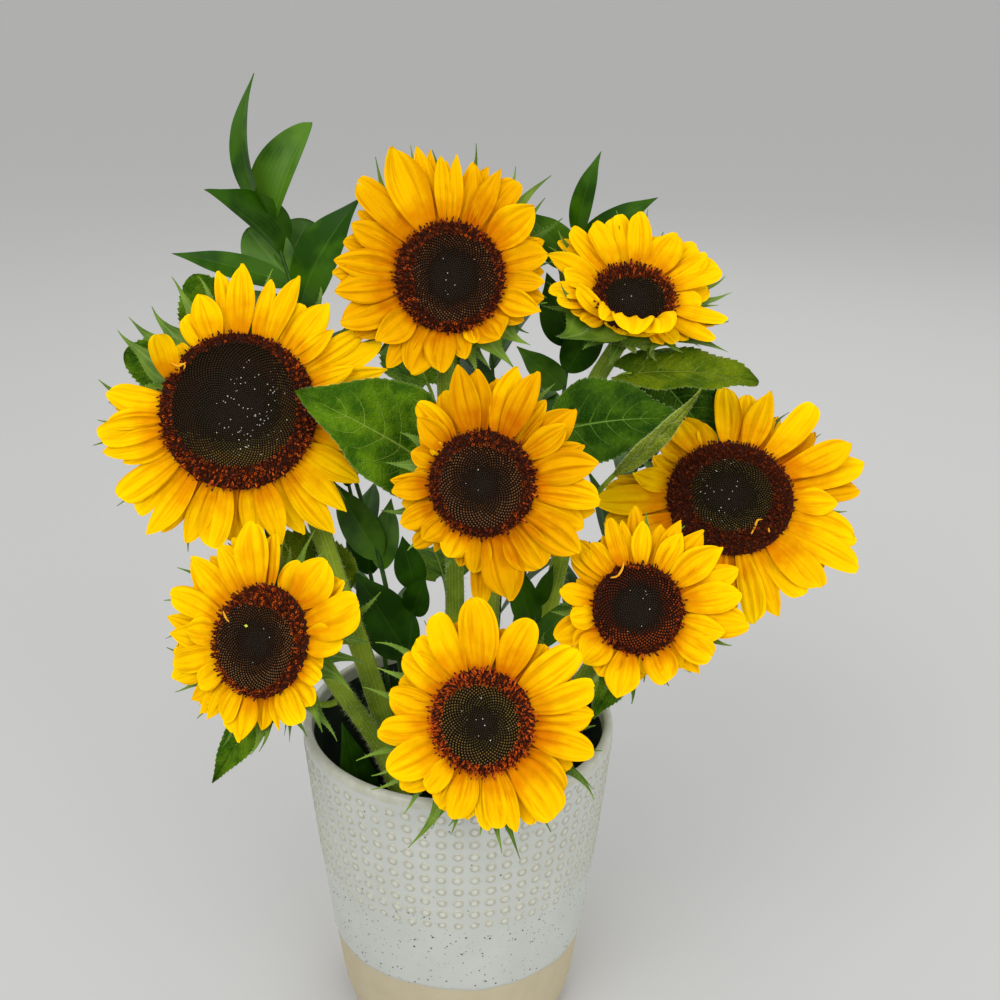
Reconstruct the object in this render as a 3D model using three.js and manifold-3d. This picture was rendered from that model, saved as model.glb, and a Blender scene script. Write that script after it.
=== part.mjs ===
// Eight cut sunflowers with their leaves and some smooth-leaved greenery, standing in a speckled glazed
// pot. Millimetres, +Z up. The origin is the middle of the pot's flat underside, and -Y is the side the
// flowers face.
import * as THREE from "three";
import { mergeVertices } from "three/addons/utils/BufferGeometryUtils.js";
import Module from "manifold-3d";

const wasm = await Module();
wasm.setup();

const SEAT_GAP = 0.3;

// The foot curves out to the shoulder and the side curves on to the rim, drawn towards the waist and the
// foot's bend.
const POT = {
  height: 170,
  rimRadius: 80,
  waistRadius: 73,
  footRadius: 58.2,
  footBevel: 1,
  footBend: 63.6,
  shoulderRadius: 65.4,
  shoulderHeight: 30,
  wall: 5,
  floor: 9,
  arcSteps: 3,
  segments: 32,
};

// The dark fill that holds the stems, as radius and height up its edge and in over its top.
const FILL = { top: 82, edge: [[47.5, 9.3], [57, 16.5], [59.4, 30], [65.8, 80.5]], rounding: 6 };

// The layers of a flower head behind the front of its disc: disc, ray plate, calyx bowl. The disc's
// profile is in shares of its radius and heights, and the bowl's in shares from its neck to the disc's
// radius and of its depth.
const HEAD = {
  discBack: 1.5,
  discProfile: [[1, 0.5], [0.86, 3.6], [0.5, 2.2], [0, 1.4]],
  plate: 3,
  plateInset: 1,
  rayRoot: 0.8,
  rayKnee: 0.6,
  bractRoot: 0.72,
  bractKnee: 1,
  bractDrop: 3,
  bowlDepth: 6,
  bowlDepthPerRadius: 0.32,
  bowlProfile: [[0, 0], [0.66, 0.36], [1, 0.8]],
  neckRadius: 6.4,
  segments: 18,
  bowlSegments: 14,
};

// Rays stand in two whorls, one a little higher. vary is how far each ray strays from its flower's own
// values.
const RAY = {
  thickness: 1.1,
  whorlGap: 1.7,
  whorlLift: 5,
  stops: [0, 0.42, 0.8],
  widths: [0.55, 1, 0.78],
  vary: { place: 0.25, reach: 0.08, width: 0.1, lift: 3, curl: 6, sway: 10, roll: 14 },
};

// Bracts are the pointed green leaves round the bowl. They slope away behind the rays.
const BRACT = {
  thickness: 1.2,
  width: 9.5,
  lift: -20,
  highestLift: 50,
  curl: -4,
  count: 12,
  offset: 0.5,
  stops: [0.1, 0.55],
  widths: [1, 0.5],
  vary: { place: 0.3, reach: 0.15, lift: 4, curl: 6, sway: 14, roll: 10 },
};

// reach and bracts are how far the rays and bracts stand out past the disc, and lift is the rays' slope
// out of the face in degrees, each to the right, top, left and bottom of the face. rise and turn aim the
// face, in degrees. A swell makes the rays within about its spread of degrees longer or shorter by up to a
// share of their reach.
const HEADS = [
  {
    name: "left",
    centre: [-103.8, 0, 334.3],
    disc: 74.5,
    rise: 24,
    turn: 2,
    rays: 32,
    width: 13.5,
    reach: [35, 34, 30, 30],
    lift: [0, 2, 3, -5],
    curl: -6,
    bracts: [36, 36, 40, 36],
    swells: [{ at: 140, spread: 26, by: -0.5 }],
  },
  {
    name: "top",
    centre: [-3.8, 30, 391.5],
    disc: 53.4,
    rise: 22,
    turn: 5,
    rays: 28,
    width: 13,
    reach: [23, 32, 32, 23],
    lift: [16, 12, 13, 18],
    curl: -10,
    bracts: [32, 38, 35, 30],
    swells: [{ at: 318, spread: 32, by: -0.35 }, { at: 114, spread: 14, by: 0.18 }],
  },
  {
    name: "upper_right",
    centre: [86.5, 45, 377.9],
    disc: 40.8,
    rise: 48,
    turn: 6,
    rays: 18,
    width: 14.5,
    reach: [26, 27, 25, 21],
    lift: [12, 30, 34, 100],
    curl: -8,
    bracts: [36, 32, 38, 24],
    swells: [],
  },
  {
    name: "centre",
    centre: [10.6, -50, 316.6],
    disc: 47.6,
    rise: 16,
    turn: -8,
    rays: 22,
    width: 15,
    reach: [30, 29, 18, 29],
    lift: [2, 4, 6, 0],
    curl: -8,
    bracts: [28, 28, 24, 28],
    swells: [{ at: 160, spread: 26, by: -0.2 }, { at: 215, spread: 20, by: -0.15 }],
  },
  {
    name: "right",
    centre: [135.1, 15, 284.6],
    disc: 62.1,
    rise: 47,
    turn: -8,
    rays: 22,
    width: 19,
    reach: [39, 37, 36, 35],
    lift: [-8, -6, -8, -8],
    curl: -6,
    bracts: [33, 33, 33, 33],
    swells: [],
  },
  {
    name: "lower_left",
    centre: [-89.7, -62, 245],
    disc: 51.2,
    rise: 27,
    turn: -30,
    rays: 24,
    width: 16,
    reach: [27, 31, 31, 24],
    lift: [-4, -2, 0, 0],
    curl: -8,
    bracts: [33, 33, 36, 32],
    swells: [{ at: 335, spread: 28, by: -0.38 }],
  },
  {
    name: "front",
    centre: [10.4, -98, 224.7],
    disc: 45.9,
    rise: 21,
    turn: -13,
    rays: 22,
    width: 17,
    reach: [28, 32, 24, 28],
    lift: [4, 6, 4, 6],
    curl: -8,
    bracts: [34, 30, 32, 44],
    swells: [{ at: 170, spread: 20, by: -0.1 }],
  },
  {
    name: "lower_right",
    centre: [79.8, -68, 264.2],
    disc: 40.8,
    rise: 32,
    turn: -2,
    rays: 20,
    width: 15,
    reach: [27, 27, 17, 21],
    lift: [8, 8, 10, 6],
    curl: -10,
    bracts: [27, 30, 26, 22],
    swells: [{ at: 312, spread: 30, by: -0.3 }, { at: 140, spread: 18, by: -0.25 }],
  },
];

const STEM = { steps: 10, sides: 8, neck: 20, flare: 1.06, taper: 0.22, petioleGap: 0.3 };

// Each stem rises from its foot in the pot through the points of its way to the back of its flower.
const STEMS = {
  left: { foot: [-20, -2], radius: 5.8, way: [[-37, -12, 170], [-57, -4, 238], [-82, 22, 298]] },
  top: { foot: [-6, 24], radius: 5.4, way: [[-2, 26, 180], [-2, 28, 250], [-6, 50, 330]] },
  upper_right: { foot: [26, 24], radius: 5.2, way: [[42, 24, 190], [54, 30, 250], [66, 48, 325]] },
  centre: { foot: [12, -4], radius: 5.4, way: [[14, 0, 180], [17, 4, 250]] },
  right: { foot: [45, 8], radius: 5.8, way: [[62, 13, 170], [104, 32, 225]] },
  lower_left: { foot: [-14, -26], radius: 5, way: [[-38, -32, 168], [-58, -34, 205]] },
  front: { foot: [2, -42], radius: 5.2, way: [[8, -44, 150], [15, -52, 190]] },
  lower_right: { foot: [30, -24], radius: 5, way: [[50, -26, 180], [70, -28, 222]] },
};

const LEAF = {
  thickness: 1.6,
  petiole: 1.7,
  petioleDepth: 0.9,
  heelDepth: 0.7,
  handle: 0.4,
  fold: 0.16,
  petioleStops: [0, 0.33, 0.67],
  bladeStops: [0.12, 0.3, 0.5, 0.7, 0.88],
  skew: 0.75,
  fullness: 0.85,
};

// A sunflower leaf leaves its stem at the given height. Its blade runs from heel to tip and faces the way
// given.
const LEAVES = [
  {
    name: "leaf_left_of_centre",
    stem: "top",
    height: 292,
    heel: [-16, 0, 309],
    tip: [-74, -20, 350],
    face: [-0.1, -0.75, 0.65],
    width: 44,
    bow: 5,
  },
  {
    name: "leaf_right_of_centre",
    stem: "upper_right",
    height: 300,
    heel: [52, 16, 320],
    tip: [108, 4, 329],
    face: [0, -0.75, 0.65],
    width: 44,
    bow: 6,
  },
  {
    name: "leaf_curled",
    stem: "upper_right",
    height: 275,
    heel: [74, -8, 305],
    tip: [110, -22, 352],
    face: [0.5, -0.75, 0.4],
    width: 11,
    bow: 3,
  },
  {
    name: "leaf_under_upper_right",
    stem: "upper_right",
    height: 322,
    heel: [86, 36, 338],
    tip: [149, 26, 338],
    face: [0, -0.55, 0.83],
    width: 33,
    bow: 5,
  },
  {
    name: "leaf_low_under_upper_right",
    stem: "upper_right",
    height: 290,
    heel: [90, 84, 322],
    tip: [136, 96, 318],
    face: [0, -0.8, 0.6],
    width: 34,
    bow: 3,
  },
  {
    name: "leaf_below_lower_left",
    stem: "lower_left",
    height: 200,
    heel: [-92, -38, 200],
    tip: [-122, -38, 153],
    face: [-0.2, -0.9, 0.4],
    width: 19,
    bow: 3,
  },
  {
    name: "leaf_far_left_upper",
    stem: "left",
    height: 300,
    heel: [-112, 46, 352],
    tip: [-140, 44, 388],
    face: [-0.1, -0.9, 0.3],
    width: 30,
    bow: 3,
  },
  {
    name: "leaf_far_left_lower",
    stem: "left",
    height: 285,
    heel: [-128, 44, 334],
    tip: [-166, 38, 352],
    face: [-0.2, -0.9, 0.3],
    width: 30,
    bow: 3,
  },
  {
    name: "leaf_right_rim",
    stem: "lower_right",
    height: 205,
    heel: [82, -36, 226],
    tip: [60, -58, 200],
    face: [0.5, -0.7, 0.5],
    width: 22,
    bow: 3,
  },
  {
    name: "leaf_under_left",
    stem: "left",
    height: 226,
    heel: [-60, 10, 240],
    tip: [-102, 12, 260],
    face: [0, -0.9, 0.4],
    width: 30,
    bow: 3,
  },
  {
    name: "leaf_back_top",
    stem: "top",
    height: 300,
    heel: [-16, 84, 322],
    tip: [-34, 136, 334],
    face: [0, -0.3, 0.95],
    width: 42,
    bow: 7,
  },
  {
    name: "leaf_back_upper_right",
    stem: "upper_right",
    height: 262,
    heel: [70, 82, 290],
    tip: [86, 130, 296],
    face: [0, -0.3, 0.95],
    width: 40,
    bow: 7,
  },
  {
    name: "leaf_back_left",
    stem: "left",
    height: 275,
    heel: [-84, 50, 290],
    tip: [-122, 88, 294],
    face: [0, -0.2, 0.98],
    width: 40,
    bow: 7,
  },
  {
    name: "leaf_back_right",
    stem: "right",
    height: 200,
    heel: [104, 52, 216],
    tip: [142, 88, 214],
    face: [0, -0.2, 0.98],
    width: 38,
    bow: 7,
  },
  {
    name: "leaf_back_low",
    stem: "top",
    height: 205,
    heel: [-8, 60, 220],
    tip: [-18, 110, 212],
    face: [0, -0.2, 0.98],
    width: 40,
    bow: 8,
  },
];

const SPRIG = {
  radius: 1.8,
  tipRadius: 0.9,
  steps: 10,
  sides: 3,
  thickness: 1.1,
  fold: 0.12,
  bow: 0.12,
  stops: [0.2, 0.5, 0.8],
  skew: 0.85,
  fullness: 0.8,
  lean: 1,
  lastLean: 0.25,
  lastRoot: 4,
  faceUp: 0.8,
  faceIn: 0.6,
  vary: { turn: 0.4, size: 0.12 },
};

// A sprig of greenery is a twig with leaves. A leaf starts at a height on the twig and ends at its tip.
const SPRIGS = [
  {
    name: "sprig_upper_left",
    foot: [-18, 16],
    way: [[-38, 15, 242], [-51, 27, 286], [-79, 50, 374], [-86, 54, 394], [-93, 58, 416]],
    leaves: [
      { height: 414, tip: [-99, 62, 478], width: 21, face: [-0.8, -0.6, 0], bow: 0.3 },
      { height: 410, tip: [-72, 70, 460], width: 27, face: [-0.4, -0.9, 0.1], bow: 0.16 },
      { height: 398, tip: [-120, 40, 430], width: 25, face: [0.3, -0.7, 0.7], bow: 0.2 },
      { height: 386, tip: [-105, 66, 416], width: 18, face: [0, -1, 0.2] },
      { height: 390, tip: [-82, 80, 414], width: 16, face: [0, -1, 0.2] },
      { height: 372, tip: [-48, 46, 423], width: 26, face: [-0.5, -0.8, 0.3], bow: 0.2 },
      { height: 382, tip: [-140, 50, 399], width: 19, face: [0, -0.8, 0.6] },
      { height: 250, tip: [-62, 26, 288], width: 19, face: [0.2, -1, 0] },
      { height: 246, tip: [-34, 30, 278], width: 15, face: [-0.2, -1, 0] },
      { height: 340, tip: [-52, 92, 352], width: 20, face: [0, -0.3, 1] },
      { height: 356, tip: [-112, 88, 372], width: 20, face: [0, -0.3, 1] },
    ],
  },
  {
    name: "sprig_upper_right",
    foot: [14, 44],
    way: [[38, 44, 246], [56, 75, 320], [62, 91, 402]],
    leaves: [
      { height: 398, tip: [72, 88, 443], width: 13, face: [-0.6, -0.8, 0], bow: 0.2 },
      { height: 394, tip: [103, 94, 419], width: 16, face: [0, -0.6, 0.8] },
      { height: 386, tip: [33, 74, 416], width: 20, face: [0, -1, 0.2] },
      { height: 345, tip: [45, 72, 385], width: 22, face: [0, -1, 0.1] },
      { height: 322, tip: [30, 62, 349], width: 15, face: [0.2, -1, 0] },
      { height: 330, tip: [76, 78, 366], width: 20, face: [0, -1, 0.2] },
      { height: 300, tip: [40, 112, 318], width: 20, face: [0, -0.3, 1] },
      { height: 370, tip: [70, 120, 388], width: 20, face: [0, -0.3, 1] },
    ],
  },
  {
    name: "sprig_mid_left",
    foot: [-30, 14],
    way: [[-28, 10, 170], [-24, 10, 214], [-20, 12, 250]],
    leaves: [
      { height: 198, tip: [-52, 10, 246], width: 28, face: [0.3, -1, 0.2] },
      { height: 222, tip: [-16, -2, 250], width: 15, face: [-0.3, -1, 0.2] },
      { height: 236, tip: [-28, 14, 264], width: 16, face: [0, -1, 0.2] },
      { height: 160, tip: [-22, -2, 206], width: 18, face: [-0.2, -1, 0.2] },
    ],
  },
  {
    name: "sprig_mid_right",
    foot: [30, 4],
    way: [[32, -6, 170], [36, -8, 215], [40, -6, 238]],
    leaves: [
      { height: 236, tip: [46, -16, 262], width: 8, face: [-0.2, -1, 0.2] },
      { height: 212, tip: [62, -2, 240], width: 14, face: [0, -1, 0.2] },
      { height: 222, tip: [28, 0, 256], width: 15, face: [0, -1, 0.2] },
    ],
  },
  {
    name: "sprig_back_left",
    foot: [-32, 36],
    way: [[-44, 56, 200], [-60, 78, 268], [-72, 92, 316]],
    rule: { leaves: 9, from: 190, length: 48, width: 19 },
  },
  {
    name: "sprig_back_middle",
    foot: [4, 48],
    way: [[22, 60, 190], [22, 92, 280], [16, 112, 360]],
    rule: { leaves: 11, from: 195, length: 50, width: 20 },
  },
  {
    name: "sprig_back_right",
    foot: [44, 38],
    way: [[52, 42, 168], [84, 70, 235], [106, 100, 290]],
    rule: { leaves: 9, from: 180, length: 48, width: 19 },
  },
  {
    name: "sprig_in_pot",
    foot: [-40, -14],
    way: [[-46, -22, 110], [-48, -27, 122]],
    leaves: [{ height: 114, tip: [-57, -32, 184], width: 20, face: [0.5, -1, 0] }],
  },
];

const GOLDEN_ANGLE = THREE.MathUtils.degToRad(137.5);
const rad = THREE.MathUtils.degToRad;
const vec = (p) => new THREE.Vector3(...p);
const mix = THREE.MathUtils.lerp;

// A repeatable number from -1 to 1 for the given keys.
function scatter(a, b, c = 0) {
  const v = Math.sin(a * 12.9898 + b * 78.233 + c * 37.719) * 43758.5453;
  return 2 * (v - Math.floor(v)) - 1;
}

// A size that changes smoothly round a face, from its values at the right, top, left and bottom.
function around(angle, [right, top, left, bottom]) {
  const across = Math.cos(angle);
  const along = Math.sin(angle);
  return across ** 2 * (across > 0 ? right : left) + along ** 2 * (along > 0 ? top : bottom);
}

// How far a flower's rays reach past its disc at an angle.
function rayReach(head, angle) {
  return head.swells.reduce((reach, { at, spread, by }) => {
    const off = THREE.MathUtils.euclideanModulo(THREE.MathUtils.radToDeg(angle) - at + 180, 360) - 180;
    return reach * (1 + by * Math.exp(-((off / spread) ** 2)));
  }, around(angle, head.reach));
}

function asSolid(geometry) {
  const bare = new THREE.BufferGeometry();
  bare.setAttribute("position", geometry.getAttribute("position"));
  bare.setIndex(geometry.index);
  const merged = mergeVertices(bare, 1e-4);
  const mesh = new wasm.Mesh({
    numProp: 3,
    vertProperties: merged.attributes.position.array,
    triVerts: new Uint32Array(merged.index.array),
  });
  return new wasm.Manifold(mesh);
}

function asGeometry(solid) {
  const { vertProperties, triVerts } = solid.getMesh();
  const geometry = new THREE.BufferGeometry();
  geometry.setAttribute("position", new THREE.BufferAttribute(new Float32Array(vertProperties), 3));
  geometry.setIndex(new THREE.BufferAttribute(new Uint32Array(triVerts), 1));
  return geometry;
}

function fuse(geometries) {
  return asGeometry(geometries.map(asSolid).reduce((whole, piece) => whole.add(piece)));
}

// A closed skin over a row of rings with the same number of points, shut by one point at each end.
function loft(first, rings, last) {
  const points = [first, ...rings.flat(), last];
  const size = rings[0].length;
  const end = points.length - 1;
  const index = [];
  for (let i = 0; i < size; i++) {
    const j = (i + 1) % size;
    index.push(0, 1 + j, 1 + i);
    for (let k = 0; k + 1 < rings.length; k++) {
      const near = 1 + k * size;
      const far = near + size;
      index.push(near + i, near + j, far + j);
      index.push(near + i, far + j, far + i);
    }
    index.push(end, end - size + i, end - size + j);
  }
  const geometry = new THREE.BufferGeometry().setFromPoints(points);
  geometry.setIndex(index);
  return geometry;
}

// The four corners of a thin blade's section: left edge, upper middle, right edge, lower middle.
function bladeRing(middle, side, up, halfWidth, halfThickness, fold) {
  const corner = (across, over) => middle.clone().addScaledVector(side, across).addScaledVector(up, over);
  return [
    corner(-halfWidth, fold),
    corner(0, -halfThickness),
    corner(halfWidth, fold),
    corner(0, halfThickness),
  ];
}

const radiusAndHeight = ([r, z]) => new THREE.Vector2(r, z);

function turned(outline, segments) {
  return new THREE.LatheGeometry(outline, segments).rotateX(Math.PI / 2);
}

function part(name, geometry, colour, roughness, metalness = 0) {
  const material = new THREE.MeshStandardMaterial({ color: colour, roughness, metalness, name });
  const mesh = new THREE.Mesh(geometry, material);
  mesh.name = name;
  return mesh;
}

function potOutline() {
  const { height, rimRadius, waistRadius, shoulderRadius, shoulderHeight } = POT;
  const { footRadius, footBevel, footBend, wall, floor } = POT;
  const lip = wall / 2;
  const path = new THREE.Path();
  path.moveTo(0, 0);
  path.lineTo(footRadius - footBevel, 0);
  path.lineTo(footRadius, footBevel);
  path.quadraticCurveTo(footBend, floor, shoulderRadius, shoulderHeight);
  path.quadraticCurveTo(waistRadius, height / 2, rimRadius, height - lip);
  path.quadraticCurveTo(rimRadius, height, rimRadius - lip, height);
  path.quadraticCurveTo(rimRadius - wall, height, rimRadius - wall, height - lip);
  path.quadraticCurveTo(waistRadius - wall, height / 2, shoulderRadius - wall, shoulderHeight);
  path.quadraticCurveTo(shoulderRadius - wall, floor, footRadius - 2 * wall, floor);
  path.lineTo(0, floor);
  return path.getPoints(POT.arcSteps);
}

function makePot() {
  return part("pot", turned(potOutline(), POT.segments), 0xbec3bc, 0.35);
}

function makeFill() {
  const { edge, top, rounding } = FILL;
  const foot = edge[0][1];
  const outline = [[0, foot], ...edge, [edge.at(-1)[0] - rounding, top], [0, top]];
  return part("fill", turned(outline.map(radiusAndHeight), POT.segments), 0x1f2a1c, 0.95);
}

// The right, up and outward directions of a flower's face.
function faceAxes({ rise, turn }) {
  const out = new THREE.Vector3(
    Math.sin(rad(turn)) * Math.cos(rad(rise)),
    -Math.cos(rad(turn)) * Math.cos(rad(rise)),
    Math.sin(rad(rise)),
  );
  const right = new THREE.Vector3(0, 0, 1).cross(out).normalize();
  return { right, up: out.clone().cross(right), out };
}

function bowlDepth(head) {
  return HEAD.bowlDepth + HEAD.bowlDepthPerRadius * (head.disc / 2);
}

// How far behind the disc's front plane each layer starts, and where the stem ends.
function layers(head) {
  const plateTop = -HEAD.discBack - SEAT_GAP;
  const plateBack = plateTop - HEAD.plate;
  const bowlTop = plateBack - SEAT_GAP;
  const bowlBack = bowlTop - bowlDepth(head);
  return { plateTop, plateBack, bowlTop, bowlBack, stemTop: bowlBack - SEAT_GAP };
}

function makeDisc(head) {
  const radius = head.disc / 2;
  const back = -HEAD.discBack;
  const front = HEAD.discProfile.map(([share, height]) => [radius * share, height]);
  const outline = [[0, back], [radius - HEAD.plateInset, back], ...front];
  return part("disc_" + head.name, turned(outline.map(radiusAndHeight), HEAD.segments), 0x2b1a10, 0.9);
}

// A three-cornered section of a thin blade: two edges and the ridge between them.
function ridgeRing(middle, side, up, halfWidth, thickness) {
  const corner = (across, over) => middle.clone().addScaledVector(side, across).addScaledVector(up, over);
  return [corner(-halfWidth, -thickness / 2), corner(halfWidth, -thickness / 2), corner(0, thickness / 2)];
}

// A blade in the face's own axes: it starts flat inside the head, then bends at the disc's edge and curls.
function faceBlade(blade) {
  const { angle, root, knee, depth, reach, lift, curl, roll, sway, stops, widths, width, thickness } = blade;
  const flat = new THREE.Vector3(Math.cos(angle), Math.sin(angle), 0);
  const first = flat.clone().multiplyScalar(root).setZ(depth);
  const middle = flat.clone().multiplyScalar(knee).setZ(depth);
  const rings = [];
  let done = 0;
  [...stops, 1].forEach((stop, k) => {
    const half = (done + stop) / 2;
    const slope = rad(lift + curl * half);
    const heading = angle + rad(sway * half);
    const along = new THREE.Vector3(
      Math.cos(slope) * Math.cos(heading),
      Math.cos(slope) * Math.sin(heading),
      Math.sin(slope),
    );
    middle.addScaledVector(along, (stop - done) * reach);
    done = stop;
    if (k === stops.length) return;
    const side = new THREE.Vector3(-Math.sin(heading), Math.cos(heading), 0);
    side.applyAxisAngle(along, rad(roll * stop));
    const up = stop === 0 ? new THREE.Vector3(0, 0, 1) : along.clone().cross(side);
    rings.push(ridgeRing(middle, side, up, width * widths[k] * 0.5, thickness));
  });
  return loft(first, rings, middle);
}

function makeRays(head, seed) {
  const radius = head.disc / 2;
  const { plateTop, plateBack } = layers(head);
  const edge = radius - HEAD.plateInset;
  const plate = [[0, plateBack], [edge, plateBack], [edge, plateTop], [0, plateTop]];
  const pieces = [turned(plate.map(radiusAndHeight), HEAD.segments)];
  const { vary } = RAY;
  for (let i = 0; i < head.rays; i++) {
    const angle = ((i + vary.place * scatter(seed, i, 1)) * 2 * Math.PI) / head.rays;
    const whorl = i % 2 ? -1 : 1;
    pieces.push(
      faceBlade({
        angle,
        root: radius * HEAD.rayRoot,
        knee: radius + HEAD.rayKnee,
        depth: (plateTop + plateBack + whorl * RAY.whorlGap) / 2,
        reach: rayReach(head, angle) * (1 + vary.reach * scatter(seed, i, 2)),
        lift: around(angle, head.lift) + whorl * RAY.whorlLift + vary.lift * scatter(seed, i, 4),
        curl: head.curl + vary.curl * scatter(seed, i, 5),
        width: head.width * (1 + vary.width * scatter(seed, i, 3)),
        thickness: RAY.thickness,
        roll: vary.roll * scatter(seed, i, 7),
        sway: vary.sway * scatter(seed, i, 6),
        stops: RAY.stops,
        widths: RAY.widths,
      }),
    );
  }
  return part("rays_" + head.name, fuse(pieces), 0xfdc300, 0.6);
}

function makeCalyx(head, seed) {
  const radius = head.disc / 2;
  const { bowlTop, bowlBack } = layers(head);
  const depth = bowlTop - HEAD.bractDrop;
  const side = HEAD.bowlProfile.map(([out, up]) => {
    return [mix(HEAD.neckRadius, radius, out), mix(bowlBack, bowlTop, up)];
  });
  const outline = [[0, bowlBack], ...side, [radius - HEAD.plateInset, bowlTop], [0, bowlTop]];
  const pieces = [turned(outline.map(radiusAndHeight), HEAD.bowlSegments)];
  const { vary } = BRACT;
  for (let i = 0; i < BRACT.count; i++) {
    const angle = ((i + BRACT.offset + vary.place * scatter(seed, i, 11)) * 2 * Math.PI) / BRACT.count;
    const lift = Math.min(around(angle, head.lift) - RAY.whorlLift + BRACT.lift, BRACT.highestLift);
    pieces.push(
      faceBlade({
        angle,
        root: radius * HEAD.bractRoot,
        knee: radius + HEAD.bractKnee,
        depth,
        reach: around(angle, head.bracts) * (1 + vary.reach * scatter(seed, i, 12)),
        lift: lift + vary.lift * scatter(seed, i, 13),
        curl: BRACT.curl + vary.curl * scatter(seed, i, 14),
        width: BRACT.width,
        thickness: BRACT.thickness,
        roll: vary.roll * scatter(seed, i, 15),
        sway: vary.sway * scatter(seed, i, 16),
        stops: BRACT.stops,
        widths: BRACT.widths,
      }),
    );
  }
  return part("calyx_" + head.name, fuse(pieces), 0x5f8f2a, 0.7);
}

// Evenly spaced points on a smooth line from the fill through the points of its way.
function centreline(foot, way, steps) {
  const points = [vec([...foot, FILL.top + SEAT_GAP]), ...way];
  return new THREE.CatmullRomCurve3(points, false, "centripetal").getSpacedPoints(steps);
}

function stemLine(head) {
  const { foot, way } = STEMS[head.name];
  const { out } = faceAxes(head);
  const end = vec(head.centre).addScaledVector(out, layers(head).stemTop);
  const neck = end.clone().addScaledVector(out, -STEM.neck);
  return centreline(foot, [...way.map(vec), neck, end], STEM.steps);
}

// A round limb along a line of points, cut square to firstCut and lastCut at its ends.
function limb(line, sides, radiusAt, firstCut, lastCut) {
  const last = line.length - 1;
  const side = new THREE.Vector3(1, 0, 0);
  const rings = line.map((point, k) => {
    const along = line[Math.min(k + 1, last)].clone().sub(line[Math.max(k - 1, 0)]).normalize();
    if (k === 0) along.copy(firstCut);
    if (k === last) along.copy(lastCut);
    side.addScaledVector(along, -side.dot(along)).normalize();
    const up = along.clone().cross(side);
    const radius = radiusAt(k / last);
    return Array.from({ length: sides }, (_, i) => {
      const turn = (2 * Math.PI * i) / sides;
      const corner = point.clone().addScaledVector(side, radius * Math.cos(turn));
      return corner.addScaledVector(up, radius * Math.sin(turn));
    });
  });
  return loft(line[0], rings, line[last]);
}

function stemRadius(name, t) {
  return STEMS[name].radius * (STEM.flare - STEM.taper * Math.sin((Math.PI / 2) * t));
}

function makeStem(head) {
  const { out } = faceAxes(head);
  const up = new THREE.Vector3(0, 0, 1);
  const radiusAt = (t) => stemRadius(head.name, t);
  const geometry = limb(stemLine(head), STEM.sides, radiusAt, up, out);
  return part("stem_" + head.name, geometry, 0x6f8f35, 0.75);
}

// The place and direction of a line of points where it first reaches a height.
function atHeight(line, height) {
  const k = Math.max(line.findIndex((point, i) => i > 0 && point.z >= height), 1);
  const [below, above] = [line[k - 1], line[k]];
  const share = THREE.MathUtils.clamp((height - below.z) / (above.z - below.z), 0, 1);
  return {
    point: below.clone().lerp(above, share),
    along: above.clone().sub(below).normalize(),
    t: (k - 1 + share) / (line.length - 1),
  };
}

// Half the width of a blade along its length, as a share of its greatest width.
function halfOutline(s, { skew, fullness }) {
  return 0.5 * Math.sin(Math.PI * s ** skew) ** fullness;
}

function makeLeaf(leaf) {
  const head = HEADS.find(({ name }) => name === leaf.stem);
  const { point, along, t } = atHeight(stemLine(head), leaf.height);
  const heel = vec(leaf.heel);
  const tip = vec(leaf.tip);
  const away = heel.clone().sub(point);
  away.addScaledVector(along, -away.dot(along)).normalize();
  const start = point.clone().addScaledVector(away, stemRadius(leaf.stem, t) + STEM.petioleGap);
  const blade = tip.clone().sub(heel);
  const handle = start.distanceTo(heel) * LEAF.handle;
  const petiole = new THREE.CubicBezierCurve3(
    start,
    start.clone().addScaledVector(away, handle),
    heel.clone().addScaledVector(blade.clone().normalize(), -handle),
    heel,
  );
  const face = vec(leaf.face).normalize();
  const bowed = heel.clone().lerp(tip, 0.5).addScaledVector(face, 2 * leaf.bow);
  const midrib = new THREE.QuadraticBezierCurve3(heel, bowed, tip);
  const rings = [];
  const addRing = (curve, s, halfWidth, halfThickness, fold) => {
    const direction = curve.getTangent(s);
    const side = face.clone().cross(direction).normalize();
    const up = direction.clone().cross(side);
    rings.push(bladeRing(curve.getPoint(s), side, up, halfWidth, halfThickness, fold));
  };
  for (const s of LEAF.petioleStops) {
    addRing(petiole, s, LEAF.petiole, LEAF.petiole * LEAF.petioleDepth, 0);
  }
  addRing(midrib, 0, LEAF.petiole, LEAF.petiole * LEAF.heelDepth, 0);
  for (const s of LEAF.bladeStops) {
    const halfWidth = leaf.width * halfOutline(s, LEAF);
    addRing(midrib, s, halfWidth, LEAF.thickness / 2, LEAF.fold * halfWidth);
  }
  return part(leaf.name, loft(start, rings, tip), 0x3f7d25, 0.6);
}

// A smooth leaf from a point on the twig to its tip, bowed towards its face.
function sprigLeaf({ root, tip, width, face, bow }) {
  const bowed = root.clone().lerp(tip, 0.5).addScaledVector(face, bow * root.distanceTo(tip));
  const midrib = new THREE.QuadraticBezierCurve3(root, bowed, tip);
  const rings = SPRIG.stops.map((s) => {
    const direction = midrib.getTangent(s);
    const side = face.clone().cross(direction).normalize();
    const up = direction.clone().cross(side);
    const halfWidth = width * halfOutline(s, SPRIG);
    return bladeRing(midrib.getPoint(s), side, up, halfWidth, SPRIG.thickness / 2, SPRIG.fold * halfWidth);
  });
  return loft(root, rings, tip);
}

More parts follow.
